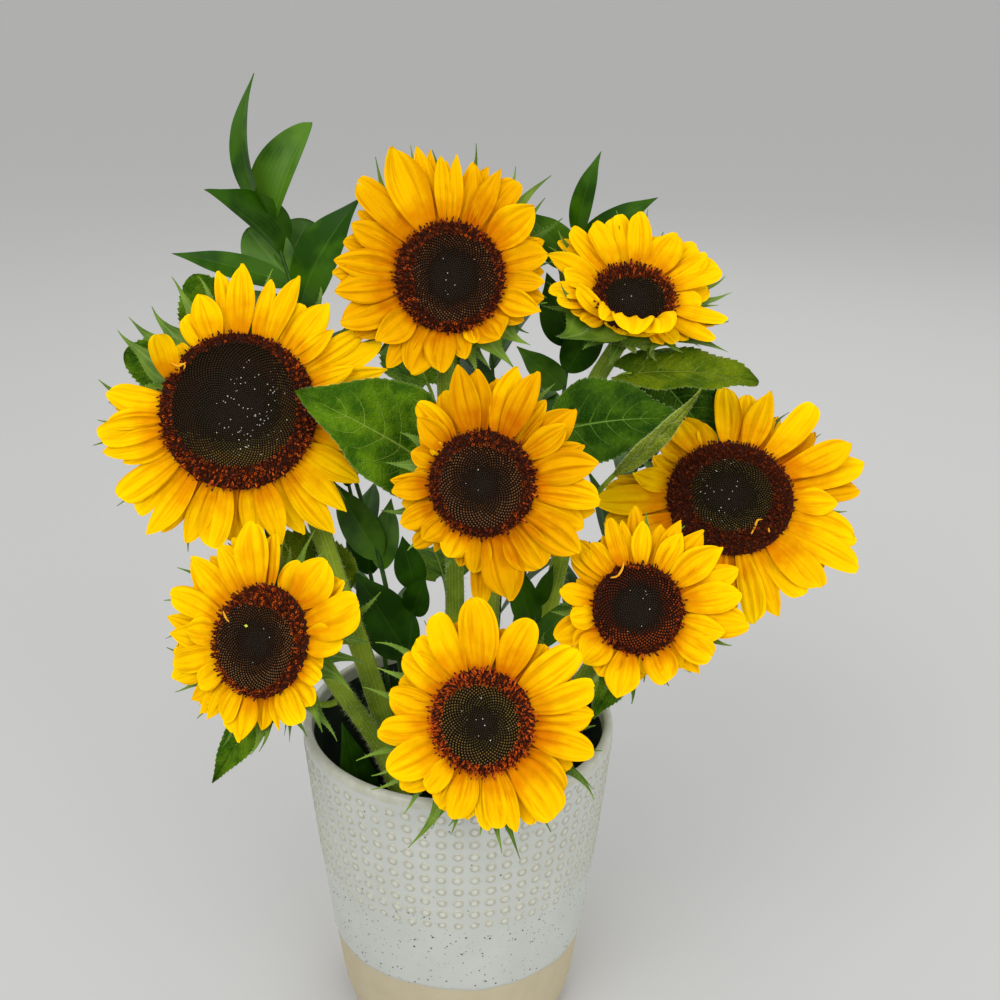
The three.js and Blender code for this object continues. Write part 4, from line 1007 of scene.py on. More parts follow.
# A flower's rays as they show: each one's angle, its reach past the disc, its width, whether it lies in
# front (1), between (0) or behind (-1), and a word for a tip or a bend that isn't the common one.
PETALS = {
    "left": (
        (14.5, 36, 12, 0, "pointed"), (19.5, 21, 9, 1), (25, 39, 12, 0, "round"), (32, 36, 10, 0),
        (40.5, 22, 9, 1),
        (50.5, 29.5, 14, 1), (58, 22, 10, 0), (65.5, 33, 10, 1), (75, 27.5, 9, 0), (88.5, 33, 13, 1),
        (97, 30, 9, 0), (108, 22, 14, 1), (119, 14.5, 10, 0), (132, 5, 7, 1), (139, 4, 6, 0, "notched"),
        (154, 12, 12, 1, "upright"), (171, 25, 13, 1), (178, 20, 9, -1), (185, 24.5, 10, 1), (190, 29, 13, 1),
        (197, 29, 13, 1), (204, 22, 10, 0), (216, 32.5, 14, 0), (225, 31, 11, -1), (233.5, 35, 12, 1),
        (238, 31, 10, -1), (248, 31, 12, 0), (258, 28.7, 15, 1), (268, 26, 12, -1), (277, 27, 12, 0),
        (287.5, 29.5, 13, 1), (297, 30, 12, -1), (307, 37, 13, 0), (316, 33, 12, 1, "pointed"),
        (329.5, 29.5, 14, 1), (338, 34, 12, -1), (346, 33, 12, 0), (355, 34, 12, 1), (4, 34, 12, 0),
    ),
    "top": (
        (13, 21.5, 15, 1), (3, 19, 12, -1), (355.5, 18.5, 10, 1), (345, 19.5, 14, -1),
        (337.5, 19.5, 13, 1, "pointed"), (328, 14.5, 12, 0), (308, 11, 19, 1, "pointed"),
        (289, 7, 8, 1), (281, 9, 9, 0), (278, 13, 10, 0), (262, 19, 15, 1), (246, 23, 18, 0),
        (234, 26, 11, -1), (220, 20, 15, 1), (211, 27, 12, -1), (201, 30, 17, 0), (204, 29, 12, -1),
        (185.5, 28.5, 16, 1), (178, 29, 13, 0), (171, 28.5, 15, 1), (160, 27, 12, -1), (151.5, 26, 13, 0),
        (143, 27, 8, -1), (133, 36, 14, 1, "notched"), (112, 40, 19, 1), (103, 37, 10, 0),
        (97.5, 35, 9, 0, "pointed"), (94, 26, 10, -1), (93, 30.5, 8, 1), (90, 30, 6, -1), (85.5, 31.5, 8, 1),
        (76.5, 30, 12, 0), (63.5, 30.5, 11, 0, "pointed"), (70, 29, 10, -1), (53.5, 30.5, 14, 0, "blunt"),
        (38, 26, 18, 1), (28, 18, 12, -1), (20, 22, 12, -1),
    ),
    "upper_right": (
        (80, 32, 12, 1), (93, 30.5, 14, 0, "blunt"), (108, 27, 12, 1), (121, 29.5, 11, 0, "blunt"),
        (132, 28.5, 10, -1), (147, 27, 13, 0, "pointed"), (157, 16, 11, 1), (171, 21, 10, 1),
        (166, 8.5, 10, 1, "crossing"), (181, 18, 11, 0), (192, 13, 11, -1), (206, 10, 11, 0),
        (223, -5, 12, 1, "over"), (252, 3, 20, 1, "over"), (279, -1, 21, 1, "over"),
        (292, 9, 9, 0, "pointed"), (236, -1, 13, 0, "rolled"), (254, 0, 15, 0, "rolled"),
        (272, 0, 15, 0, "rolled"), (287, 0, 12, 0, "rolled"), (303, 11, 9, 0, "notched"),
        (325, 24, 9, 0), (313, 14, 9, -1),
        (341, 26, 9, 1, "blunt"), (335, 21, 9, -1), (355, 13.5, 12, 0), (8, 19, 13, -1), (21, 29, 16, 1),
        (31, 27, 12, 0), (41, 28, 13, 0), (54, 26.5, 17, 1), (65, 21, 12, -1),
    ),
    "centre": (
        (355.5, 28.5, 14, 1), (12, 28, 16, 1), (349, 27.5, 12, 0), (341, 25, 13, 1), (23.5, 25, 12, 0),
        (37.5, 21.5, 12, 1), (41.5, 29.5, 15, -1, "pointed"), (55, 23, 10, -1), (66.5, 31.5, 12, 1),
        (74.5, 30, 14, 0), (85, 24, 11, -1), (95.5, 27, 13, 0), (103.5, 29.5, 13, 1), (116, 21, 11, -1),
        (131, 22, 12, 0), (137, 17, 12, 1), (143, 12, 8, 0), (144, 4.5, 7, 1), (158.5, 11, 10, 0),
        (173, 7.5, 8, 0), (181, 17.5, 8, 0), (186.5, 17, 10, 1), (197, 14, 11, -1),
        (209, 17.5, 11, 0, "jagged"), (217, 14, 9, -1), (226, 13, 12, 1), (225, 19, 9, -1), (237, 14, 6, -1),
        (248, 12.5, 13, 1), (258, 15, 10, -1), (267.5, 16.5, 12, 1), (272, 31, 10, -1, "notched"),
        (285, 30.5, 18, 1), (308, 22, 19, 0), (318, 22, 12, -1), (327, 29, 16, 1),
    ),
    "right": (
        (93, 31.5, 13, 1, "blunt"), (82, 30, 13, 0), (73, 34, 14, 1), (64, 22, 12, -1),
        (53, 38.5, 14, 1, "blunt"), (44, 28, 12, -1), (30, 38, 15, 1), (18, 39.5, 19, 0), (8, 33, 15, -1),
        (1, 22, 15, 0),
        (343, 34, 18, 0), (331, 40, 17, 1), (321, 27, 12, -1), (313, 32.5, 18, 1), (304, 31, 13, 0),
        (291, 36, 14, 0), (281, 37, 12, 1, "jagged"), (271, 41, 12, -1), (262, 31, 14, 0), (252, 30, 14, 1),
        (240, 30, 14, 0), (229, 32, 14, 1), (217, 30, 14, 0), (206, 32, 14, 1), (196, 34, 14, 0),
        (186, 37, 17, 1), (177, 31, 13, -1), (172, 28, 10, -1, "pointed"), (167, 18.5, 14, 1),
        (152, 13, 13, 0), (138, 17, 13, 0), (123, 23.5, 18, 1, "pointed"), (110, 13, 10, 0),
    ),
    "lower_left": (
        (60, 24.5, 22, 0), (46, 26, 18, -1), (31, 29, 19, 1), (15, 19, 15, 1, "notched"), (356, 10.5, 13, 0),
        (345, 11, 10, 1), (328, 15, 13, 0), (315, 17, 13, 1), (300, 16, 6, 0, "pointed"), (288, 15, 11, -1),
        (272, 21.5, 16, 1, "pointed"), (263, 18, 10, 0, "jagged"), (256, 15, 11, 1),
        (247, 20, 9, 0, "pointed"), (241, 20, 11, -1, "pointed"), (236, 18.5, 11, 0, "pointed"),
        (229, 22, 12, -1, "pointed"), (224, 14, 12, 1), (214, 26, 13, 0), (205, 26, 12, 1, "jagged"),
        (197, 24, 12, -1, "jagged"), (187, 18, 13, 1), (190, 26, 12, 0, "pointed"), (181, 28, 12, -1),
        (171, 31.5, 13, 1), (161, 24, 11, -1),
        (150, 31, 15, 0), (141, 24, 11, -1), (133, 25, 14, 0), (124, 26, 11, -1), (112, 30.5, 18, 1),
        (99, 24, 12, 0), (75, 16, 12, -1),
    ),
    "front": (
        (10, 26, 13.5, 0), (24, 29, 12, 1), (352, 27, 13, 1), (1, 20, 9, -1), (43, 30, 15, 0),
        (34, 22, 11, -1), (57, 21, 12, -1, "jagged"), (69, 27, 15, 1), (80, 19, 10, -1), (90, 21, 5, -1),
        (99, 31, 17, 1), (109, 22, 10, -1), (119, 28, 13, 1, "blunt"), (135, 23, 12, 0, "blunt"),
        (148, 22, 15, 0), (159, 18, 13, -1), (171, 21, 14, 0), (181, 17, 11, -1), (191, 24, 13.5, 1),
        (202, 19, 11, -1), (214, 25, 17, 1), (226, 25, 15, 0), (236, 17, 10, 1), (248, 20, 12, 0),
        (259, 22, 13, 1), (267, 20, 11, 0), (277, 24, 9, 0), (284, 23.5, 10, 1), (292, 26, 9, 1),
        (302, 26, 10, -1, "jagged"), (314, 28, 18, 1), (327, 23, 13, 0), (338, 20, 11, -1),
    ),
    "lower_right": (
        (92, 26, 8, -1), (85.5, 19.5, 9, 1), (107, 22.5, 8, 1), (100, 20.5, 7, 0), (115, 16, 9, -1),
        (123, 15.5, 8, 1), (131, 20, 8, 1), (137, 23, 9, 0), (146, 16, 9, -1), (166, 15, 10, 1),
        (156, 10, 9, -1), (180, 9, 10, 0), (188, 10, 11, 1), (201, 19, 13, -1), (211, 14, 11, 0),
        (224, 14, 16, 1), (238, 14, 13, 0), (247, 13, 11, -1), (257, 20, 15, 1, "pointed"),
        (270, 11, 12, -1), (292, 14, 14, 1, "blunt"), (281, 10, 11, 0), (307, 12, 9, 0),
        (313, 18.5, 9, -1, "pointed"), (327, 18, 13, 1, "notched"), (345, 19, 13, 1), (353, 29, 15, 0),
        (336, 14, 11, -1), (10, 26, 14, 1), (22, 28, 13, 0), (37, 27, 14, 1, "pointed"),
        (50, 26, 14, 0, "pointed"), (64, 25, 8, 0, "pointed"), (61, 19, 11, 1, "pointed"), (74, 20, 11, -1),
    ),
}

# How a ray's end is cut: two powers that shape its outline from its widest place to its tip, and how many
# notches it has and how deep they are.
TIPS = {
    "round": (2.3, 2.0, 0, 0), "oval": (2.0, 1.55, 0, 0), "blunt": (3.0, 2.4, 1, 0.02),
    "pointed": (1.6, 1.12, 0, 0), "notched": (2.8, 2.4, 1, 0.07), "jagged": (2.8, 2.2, 3, 0.045),
    "tapered": (1.8, 1.27, 0, 0),
}
# The ends that rays take by turns where the table above names none, commonly and on some flowers.
COMMON_TIPS = ("round", "oval", "round", "blunt")
TAPERED_TIPS = {
    "left": ("tapered", "oval", "tapered", "blunt"), "top": ("tapered", "oval", "tapered", "oval"),
    "centre": ("tapered", "oval", "round", "tapered"), "right": ("oval", "round", "tapered", "blunt"),
    "lower_right": ("tapered", "oval", "tapered", "round"),
    "lower_left": ("oval", "tapered", "round", "blunt"),
}
# How a ray stands that doesn't spread from the disc: its lift at the root, how it bends on, and its length
# before its reach is added to it.
BENDS = {"over": (122, -145, 25), "rolled": (90, -150, 5), "upright": (38, -10, 13)}
# Which way an upright ray heads, and how far round the disc from its tip a crossing ray is rooted.
UPRIGHT_HEADING, CROSSING = 104, 48
# Where on the disc rays are rooted, as a share of its radius, how high above the middle of their plate, how
# far one layer lies over the next, and how much wider they are than they show, since they are cupped.
RAY_ROOT, RAY_RISE, LAYER_STEP, CUPPED = 0.9, 1.3, 1.1, 1.04
# Which flowers' rays are painted a step into shade (-1) or into light (1), deeper or brighter in tint than
# the common ones.
RAY_LIGHT_AND_SHADE = {"top": -1, "centre": -1, "left": 1, "lower_left": 1, "upper_right": 1}
# How much closer to its cup a flower's short bracts lie, in degrees.
TUCKED = {"upper_right": 26}
# How many short bracts lie round the back of a cup and how wide they are, and how thick its neck is.
SHORT_BRACTS, SHORT_WIDTH, CUP_NECK = 18, 9.5, 6.2
# The points along a ray's or a bract's path.
PATH_POINTS = 41

# The long bracts that show past the rays: each one's angle, its reach past the disc and its width.
BRACTS = {
    "left": (
        (88, 35, 9), (76, 34, 8), (57, 41, 9), (40, 41, 11), (106, 31, 9), (116, 35, 10), (129, 28, 11),
        (139, 32, 12), (145, 33, 13), (167, 33, 10), (183, 30, 8), (193, 34, 8), (218, 36, 8), (250, 35, 8),
        (262, 30, 8), (290, 36, 9), (300, 38, 9), (320, 30, 9), (345, 26, 9), (5, 30, 9),
    ),
    "top": (
        (120, 42, 8), (105, 40, 8), (97, 36, 8), (77, 39, 9), (58, 37, 9), (44, 43, 11), (38, 34, 9),
        (26, 35, 9), (318, 24, 14), (304, 27, 13), (8, 24, 9), (150, 28, 9), (175, 26, 9), (215, 26, 9),
        (250, 24, 9), (285, 22, 9), (345, 22, 9),
    ),
    "upper_right": (
        (205, 27, 24), (127, 33, 8), (140, 31, 8), (2, 31, 10), (14, 30, 8), (92, 34, 9), (75, 36, 9),
        (322, 33, 14), (135, 28, 7), (230, 15, 24), (252, 11, 26), (274, 11, 26), (296, 13, 22),
        (342, 28, 9), (185, 26, 9), (165, 24, 9), (45, 25, 9),
    ),
    "centre": (
        (131, 25, 8), (171, 21, 8), (198, 25, 8), (57, 32, 9), (35, 28, 9), (82, 26, 9), (110, 24, 9),
        (150, 20, 9), (225, 22, 9), (250, 20, 9), (270, 22, 9), (300, 23, 9), (325, 24, 9), (350, 24, 9),
        (12, 24, 9),
    ),
    "right": (
        (109, 35, 11), (60, 29, 9), (80, 26, 9), (95, 26, 9), (130, 26, 9), (155, 27, 9), (180, 28, 9),
        (205, 26, 9), (235, 26, 9), (262, 27, 9), (285, 28, 9), (310, 28, 9), (335, 29, 9), (355, 27, 9),
        (20, 30, 9), (40, 30, 9),
    ),
    "lower_left": (
        (175, 36, 8), (158, 36, 8), (193, 31, 8), (197, 30, 8), (220, 29, 8), (240, 24, 8), (281, 27, 9),
        (286, 25, 8), (328, 37, 8), (324, 28, 8), (32, 43, 9), (355, 14, 9), (75, 33, 9), (65, 28, 9),
        (85, 21, 9), (105, 27, 9), (128, 26, 9), (262, 27, 10), (305, 24, 9), (12, 25, 9),
    ),
    "front": (
        (125, 29, 8), (150, 38, 8), (160, 30, 8), (171, 34, 8), (203, 38, 8), (212, 34, 8), (217, 38, 8),
        (235, 33, 8), (245, 44, 10), (250, 30, 8), (259, 30, 8), (273, 27, 9), (283, 35, 9), (291, 40, 9),
        (308, 33, 8), (332, 37, 9), (336, 33, 8), (354, 31, 8), (5, 28, 8), (30, 27, 9), (60, 26, 9),
        (90, 25, 9),
    ),
    "lower_right": (
        (340, 24, 9), (266, 22, 8), (248, 20, 11), (290, 15, 10), (310, 16, 9), (205, 21, 8), (176, 15, 9),
        (110, 22, 9), (140, 22, 9), (85, 24, 9), (60, 24, 9), (35, 24, 9), (10, 25, 9), (228, 18, 9),
    ),
}


class Face:
    """Places points of a flower's own face in the plant."""

    def __init__(self, head):
        self.axes, self.centre = axes_of(head), np.array(head["centre"], float)
        eye = (np.array(EYE) - self.centre) @ self.axes.T
        self.lean = eye[:2] / eye[2]

    def __call__(self, points):
        return np.asarray(points) @ self.axes + self.centre

    def turn(self, ways):
        return ways @ self.axes

    def below(self, shown, height):
        """Where a point of this height lies, across and up, so that it shows at a place of the face."""
        return np.asarray(shown, float) + height * self.lean


def ray_path(start, heading, length, lift, curl, sway, roll, bend=1.0):
    """The middle line of a ray or bract in its flower's face, with its side and its upper side."""
    v = np.linspace(0, 1, PATH_POINTS)
    slope = np.radians(lift + curl * v**bend)
    turn = heading + np.radians(sway) * (v - 0.5)
    along = np.stack([np.cos(slope) * np.cos(turn), np.cos(slope) * np.sin(turn), np.sin(slope)], 1)
    steps = (along[1:] + along[:-1]) / 2 * length / (PATH_POINTS - 1)
    middle = start + np.vstack([[0, 0, 0], np.cumsum(steps, 0)])
    flat = np.stack([-np.sin(turn), np.cos(turn), 0 * v], 1)
    rolled = np.radians(roll) * v[:, None]
    side = flat * np.cos(rolled) + np.cross(along, flat) * np.sin(rolled)
    return middle, side, np.cross(along, side)


def on_path(path, run, x, z):
    """Points at shares of a path's run, x to its side and z above it."""
    v = np.linspace(0, 1, PATH_POINTS)
    middle, side, up = (np.stack([np.interp(run, v, line) for line in part.T], -1) for part in path)
    return middle + x[..., None] * side + z[..., None] * up


def aim(face, start, shown, lift, curl, bend=1.0):
    """The heading and length that bring a ray's tip to where it shows in its face."""
    slope = math.radians(lift + curl / (1 + bend))
    rise = 0.0
    for _ in range(4):
        flat = face.below(shown, start[2] + rise) - start[:2]
        length = np.linalg.norm(flat) / math.cos(slope)
        rise = length * math.sin(slope)
    return math.atan2(flat[1], flat[0]), length


def petal(bits, face, path, length, width, tip, seed, paint, cell):
    """One ray: narrow at its root, folded along, and cut round, blunt, notched or pointed at its end."""
    swell, close, notches, deep = TIPS[tip]
    v = 1 - (1 - np.linspace(0, 1, 27)[:, None]) ** 1.8
    u = np.linspace(-1, 1, 21)[None]
    broad = 0.52 + 0.09 * scatter(seed, 1)
    growing = 0.42 + 0.58 * np.sin(math.pi / 2 * np.clip(v / broad, 0, 1))
    closing = (1 - np.clip((v - broad) / (1.001 - broad), 0, 1) ** swell) ** (1 / close)
    cut = 0.05 * scatter(seed, 2) * u * v**2
    if notches == 1:
        cut = cut + deep * np.exp(-(((u - 0.3 * scatter(seed, 4)) / 0.2) ** 2))
    elif notches:
        cut = cut + deep * (0.5 + 0.5 * np.cos(math.pi * notches * u + 3 * scatter(seed, 4)))
    run = np.clip(v * (1 - v**3 * cut), 0, 1)
    x = u * width / 2 * growing * np.maximum(closing, 0.02)
    body = np.sin(math.pi * np.clip(0.12 + 0.86 * v, 0, 1))
    cup = width * (0.05 + 0.1 * scatter(seed, 7)) * (u**2 - 0.33) * body
    folds = 0.036 * width * np.cos(3 * math.pi * u + 2.5 * scatter(seed, 8)) * body ** 0.7
    off_middle = np.abs(u - 0.1 * scatter(seed, 9) - 0.06 * np.sin(4 * v + seed))
    grooves = -0.58 * np.exp(-(((off_middle - 0.36) / 0.09) ** 2)) * body**0.5
    grooves = grooves - 0.3 * abs(scatter(seed, 26)) * np.exp(-((off_middle / 0.07) ** 2)) * body**0.5
    fine = 0.1 * np.cos(11 * math.pi * u + scatter(seed, 14)) * body
    ruffle = 0.045 * width * np.sin(v * 8 + 4 * scatter(seed, 10) + 1.3 * u) * np.abs(u) ** 2.5 * v
    droop = length * 0.3 * scatter(seed, 11) * np.clip(v - 0.55, 0, 1) ** 2
    skew = 0.07 * width * scatter(seed, 12) * np.sin(math.pi * v)
    raised = cup + folds + grooves + fine + ruffle + droop
    bits.sheet(face(on_path(path, run, x + skew, raised)), paint, cell, number=seed % 97)


def rays(name, number, head, face):
    """A flower's yellow rays, laid one by one from its table so that they show where the table says."""
    radius = head["disc"] / 2
    plate, plate_back, *_ = depths(head)
    bits = Bits()
    for i, (degrees, reach, width, layer, *words) in enumerate(PETALS[name]):
        seed = (number + 1) * 100 + i
        angle = heading = math.radians(degrees)
        word = words[0] if words else ""
        rooted = angle + math.radians(CROSSING if word == "crossing" else 0)
        start = polar(radius * RAY_ROOT, rooted, (plate + plate_back) / 2 + LAYER_STEP * layer + RAY_RISE)
        lift = around(angle, head["lift"]) + 4 * layer + 3 * scatter(seed, 20)
        curl = head["curl"] + 9 * scatter(seed, 21)
        if word in BENDS:
            lift, curl, length = BENDS[word]
            length += reach
        else:
            heading, length = aim(face, start, polar(radius + reach, angle)[:2], lift, curl)
        if word == "upright":
            heading = math.radians(UPRIGHT_HEADING)
        path = ray_path(start, heading, length, lift, curl, 16 * scatter(seed, 22), 13 * scatter(seed, 23))
        common = TAPERED_TIPS.get(name, COMMON_TIPS)[int(2 + 2 * scatter(seed, 24))]
        tip = word if word in TIPS else common
        # Rays behind others take a step deeper tint as painted shade, and some take a step brighter at
        # random. The flower's own step of painted light or shade is added on top.
        light_shade_step = min(layer, 0) + 1 + (scatter(seed, 25) >= 0.35) + RAY_LIGHT_AND_SHADE.get(name, 0)
        paint = min(max(light_shade_step, 0), 2)
        cell = cell_of(i, len(PETALS[name]))
        petal(bits, face, path, length, width * CUPPED, tip, seed, paint, cell)
    make("petals_" + name, bits, [PETAL_DEEP_AND_SHADED, PETAL_GOLD, PETAL_BRIGHT_AND_LIT], ["rays_" + name])


def disc_height(share):
    """The height of a disc's front at a share of its radius."""
    return np.interp(share, [0, 0.25, 0.5, 0.72, 0.86, 0.95, 1], [1.0, 1.4, 2.1, 2.7, 2.5, 1.5, -0.5])


def small_shapes():
    """The unit shapes of a disc: a closed bud, an open floret, its forked style, a club and a grain."""
    def ring(radius, height, turn=0.0):
        return [polar(radius, angle + turn, height) for angle in turns(5)]

    def shape(points, faces):
        return np.array(points), np.array(faces)

    bud = shape([*ring(1, 0), *ring(0.56, 0.9), (0, 0, 1.2)], walls(5, 1) + fan(5, 5))
    lobes = [(5 + i, 5 + (i + 1) % 5, 10 + i) for i in range(5)]
    floret = shape(ring(0.42, 0) + ring(0.5, 1.0) + ring(0.95, 1.5, math.pi / 5), walls(5, 1) + lobes)
    style = shape(
        [
            (0.26, 0, 0.3), (-0.13, 0.22, 0.3), (-0.13, -0.22, 0.3), (0.05, 0.03, 1.9), (0.5, 0.15, 2.35),
            (-0.42, 0.1, 2.3), (0.02, 0.3, 1.8),
        ],
        fan(3) + [(6, 4, 3), (6, 5, 3)],
    )
    club_rings = ring(0.42, 0) + ring(0.38, 1.0) + ring(0.56, 1.35) + ring(0.34, 1.75)
    club = shape([*club_rings, (0, 0, 2.05)], walls(5, 3) + fan(5, 15))
    under = [(b, a, 5) for a, b, _ in fan(4)]
    grain = shape([(1, 0, 0), (0, 1, 0), (-1, 0, 0), (0, -1, 0), (0, 0, 1), (0, 0, -1)], fan(4) + under)
    return bud, floret, style, club, grain


BUD, FLORET, STYLE, CLUB, GRAIN = small_shapes()
# How far apart the outermost buds stand, how they crowd towards the middle, how far apart florets stand, and
# what share of a square of that width each of them takes up.
BUD_PITCH, CROWDING, FLORET_PITCH, PACKING = 1.34, 0.62, 1.38, 0.87

# Per flower, with values that change round the disc given at its right, top, left and bottom: where its
# ring of open florets begins, as a share of its radius, and how many of them glow there; how clear its
# buds' tips get, their steps of tint and how far its plain middle goes; and its grains of pollen with the
# middle they lie round, across and up.
DISC_LOOKS = {
    "left": (
        (0.74, 0.86, 0.8, 0.7), (0.45, 0.14, 0.25, 0.55), (0.6, 0.3, 0.35, 1), OLIVE_STEPS, 0.35, 80,
        (0.14, 0.02),
    ),
    "top": (
        (0.8, 0.74, 0.64, 0.8), (0.3, 0.35, 0.3, 0.35), (0.75, 0.7, 0.75, 0.8), BROWN_STEPS, 0.4, 8,
        (0.1, 0),
    ),
    "upper_right": (
        (0.7, 0.5, 0.72, 0.8), (0.3, 0.25, 0.2, 0.15), (0.5, 0.4, 0.3, 0.3), OLIVE_STEPS, 0.4, 4,
        (0.1, 0),
    ),
    "centre": (
        (0.72, 0.7, 0.74, 0.8), (0.32, 0.32, 0.12, 0.15), (0.85, 0.75, 0.85, 1), BROWN_STEPS, 0.18, 3,
        (0.1, 0),
    ),
    "right": (
        (0.66, 0.62, 0.62, 0.62), (-0.25, -0.35, -0.3, -0.1), (0.7, 0.55, 0.5, 0.75), OLIVE_STEPS, 0.3, 30,
        (-0.25, 0.1),
    ),
    "lower_left": (
        (0.78, 0.6, 0.82, 0.84), (0.35, 0.45, 0.2, 0.3), (0.9, 0.7, 0.75, 1), BROWN_STEPS, 0.22, 3,
        (0.1, 0),
    ),
    "front": (
        (0.73, 0.69, 0.74, 0.77), (1.4, 1.4, 1.2, 1), (0.95, 0.9, 0.9, 1), OLIVE_STEPS, 0.12, 9,
        (0.1, 0.1),
    ),
    "lower_right": (
        (0.84, 0.86, 0.88, 0.8), (0.25, 0.18, 0.15, 0.35), (0.8, 0.7, 0.65, 1), RUST_STEPS, 0.4, 7,
        (-0.1, -0.05),
    ),
}
# Where rays that arch over a disc's edge leave no florets outside them, between two angles.
COVERED = {"upper_right": (222, 300)}
# Curled dry strands that lie on a disc, by their places across and up, and one bright grain.
STRANDS = {
    "lower_right": (((-6.5, 20.2), (-7.4, 17), (-9.4, 14.2), (-12.9, 13.2)),),
    "right": (((15.4, -12.6), (13, -13.9), (11.8, -17), (9.8, -22)), ((18.3, -17), (18.6, -20))),
    "lower_left": (((-20.6, 9), (-19.4, 6.4), (-17, 4.6)),),
    "left": (
        ((-29, 25), (-26.5, 24.5), (-27.5, 22), (-24, 21.5), (-25, 19)),
        ((-30.5, 22.5), (-27, 21), (-23.5, 22.6)),
    ),
}
BRIGHT_GRAIN = {"lower_left": (-7.7, 5.1)}


def leaning(point, face, lean, heading, twist, size, tall):
    """A place on a face for a shape that leans out by an angle towards a heading."""
    out = polar(math.sin(lean), heading, math.cos(lean))
    a = unit(np.cross(out, polar(1, twist, 0.01)))
    axes = np.array([a * size, np.cross(out, a) * size, out * tall])
    return np.vstack([face.turn(axes), face(point)[None]])


def disc(name, number, head, face):
    """The round middle of a flower: its floor, its closed buds, its open florets and what lies on them."""
    radius = head["disc"] / 2
    ring, glow, clear, steps, plain, grains, grains_at = DISC_LOOKS[name]
    seed = number + 71
    bits = Bits()
    t = turns(64)
    rows = [circle(radius * 0.98, t, -1.8)]
    for share in (1.0, 0.97, 0.9, 0.8, 0.7, 0.55, 0.4, 0.25, 0.1, 0.02):
        rows.append(circle(radius * share, t, disc_height(share) - 0.6))
    bits.sheet(face(np.array(rows)), np.repeat([SHADE] * 6 + [DARK] * 4, len(t)), closed=True)
    bits.cap(face(rows[-1]), face(np.array([0, 0, disc_height(0) - 0.6])), DARK)
    buds(bits, face, radius, ring, clear, steps, plain, seed)
    florets(bits, face, radius, ring, glow, COVERED.get(name, (0, 0)), seed)
    dust = []
    for k in range(grains):
        r = radius * 0.5 * abs(scatter(seed, k, 31)) ** 0.6
        a = math.pi * scatter(seed, k, 32)
        x, y = r * math.cos(a) + radius * grains_at[0], 1.25 * r * math.sin(a) + radius * grains_at[1]
        point = np.array([x, y, disc_height(math.hypot(x, y) / radius) + 0.35])
        size = 0.16 + 0.2 * abs(scatter(seed, k, 33))
        dust.append(leaning(point, face, 0.3, a, a, size, size))
    bits.copies(GRAIN, np.array(dust), DUST)
    for way in STRANDS.get(name, ()):
        line = through([(x, y, 3.6 + 0.9 * scatter(seed, j, 34)) for j, (x, y) in enumerate(way)], 24)
        line[:, 2] = np.maximum(line[:, 2], 2.2)
        thick = 0.16 + 0.4 * np.sin(math.pi * np.linspace(0.06, 0.97, 24))
        bits.sheet(face(tube(line, thick, 6)), THREAD, closed=True)
    if name in BRIGHT_GRAIN:
        place = leaning(np.array([*BRIGHT_GRAIN[name], disc_height(0.4) + 0.6]), face, 0, 0, 0, 0.75, 0.6)
        place[1] *= 1.6
        bits.copies(GRAIN, place[None], LIME)
    make("disc_" + name + "_florets", bits, DISC_PAINTS, ["disc_" + name], smooth=False)


def buds(bits, face, radius, ring, clear, steps, plain, seed):
    """The closed buds inside the ring, smallest in the middle, set by the golden angle."""
    reach = radius * max(ring)
    count = int(2 * math.pi * CROWDING * reach**2 / (PACKING * BUD_PITCH**2))
    places, paints = [], []
    for k in range(count):
        share = ((k + 0.5) / count) ** CROWDING
        a = k * GOLDEN_ANGLE
        r = reach * share
        edge = radius * around(a, ring)
        if r > edge + 0.8:
            continue
        pitch = BUD_PITCH * ((k + 0.5) / count) ** (CROWDING - 0.5)
        size = pitch * (0.5 + 0.05 * scatter(seed, k))
        tall = pitch * (0.55 + 0.35 * share + 0.12 * scatter(seed, k, 2))
        point = polar(r, a, disc_height(r / radius) - 0.55)
        places.append(leaning(point, face, 0.25 * r / radius, a, a, size, tall))
        shown = np.clip((r / edge - plain) / (0.85 - plain), 0, 1) ** 0.8 * around(a, clear)
        step = int(3.49 * shown + 0.32 * scatter(seed, k, 4) + 0.32)
        paints.append([DARK] * 10 + [steps[min(max(step, 0), 3)]] * 5)
    bits.copies(BUD, np.array(places), np.array(paints))


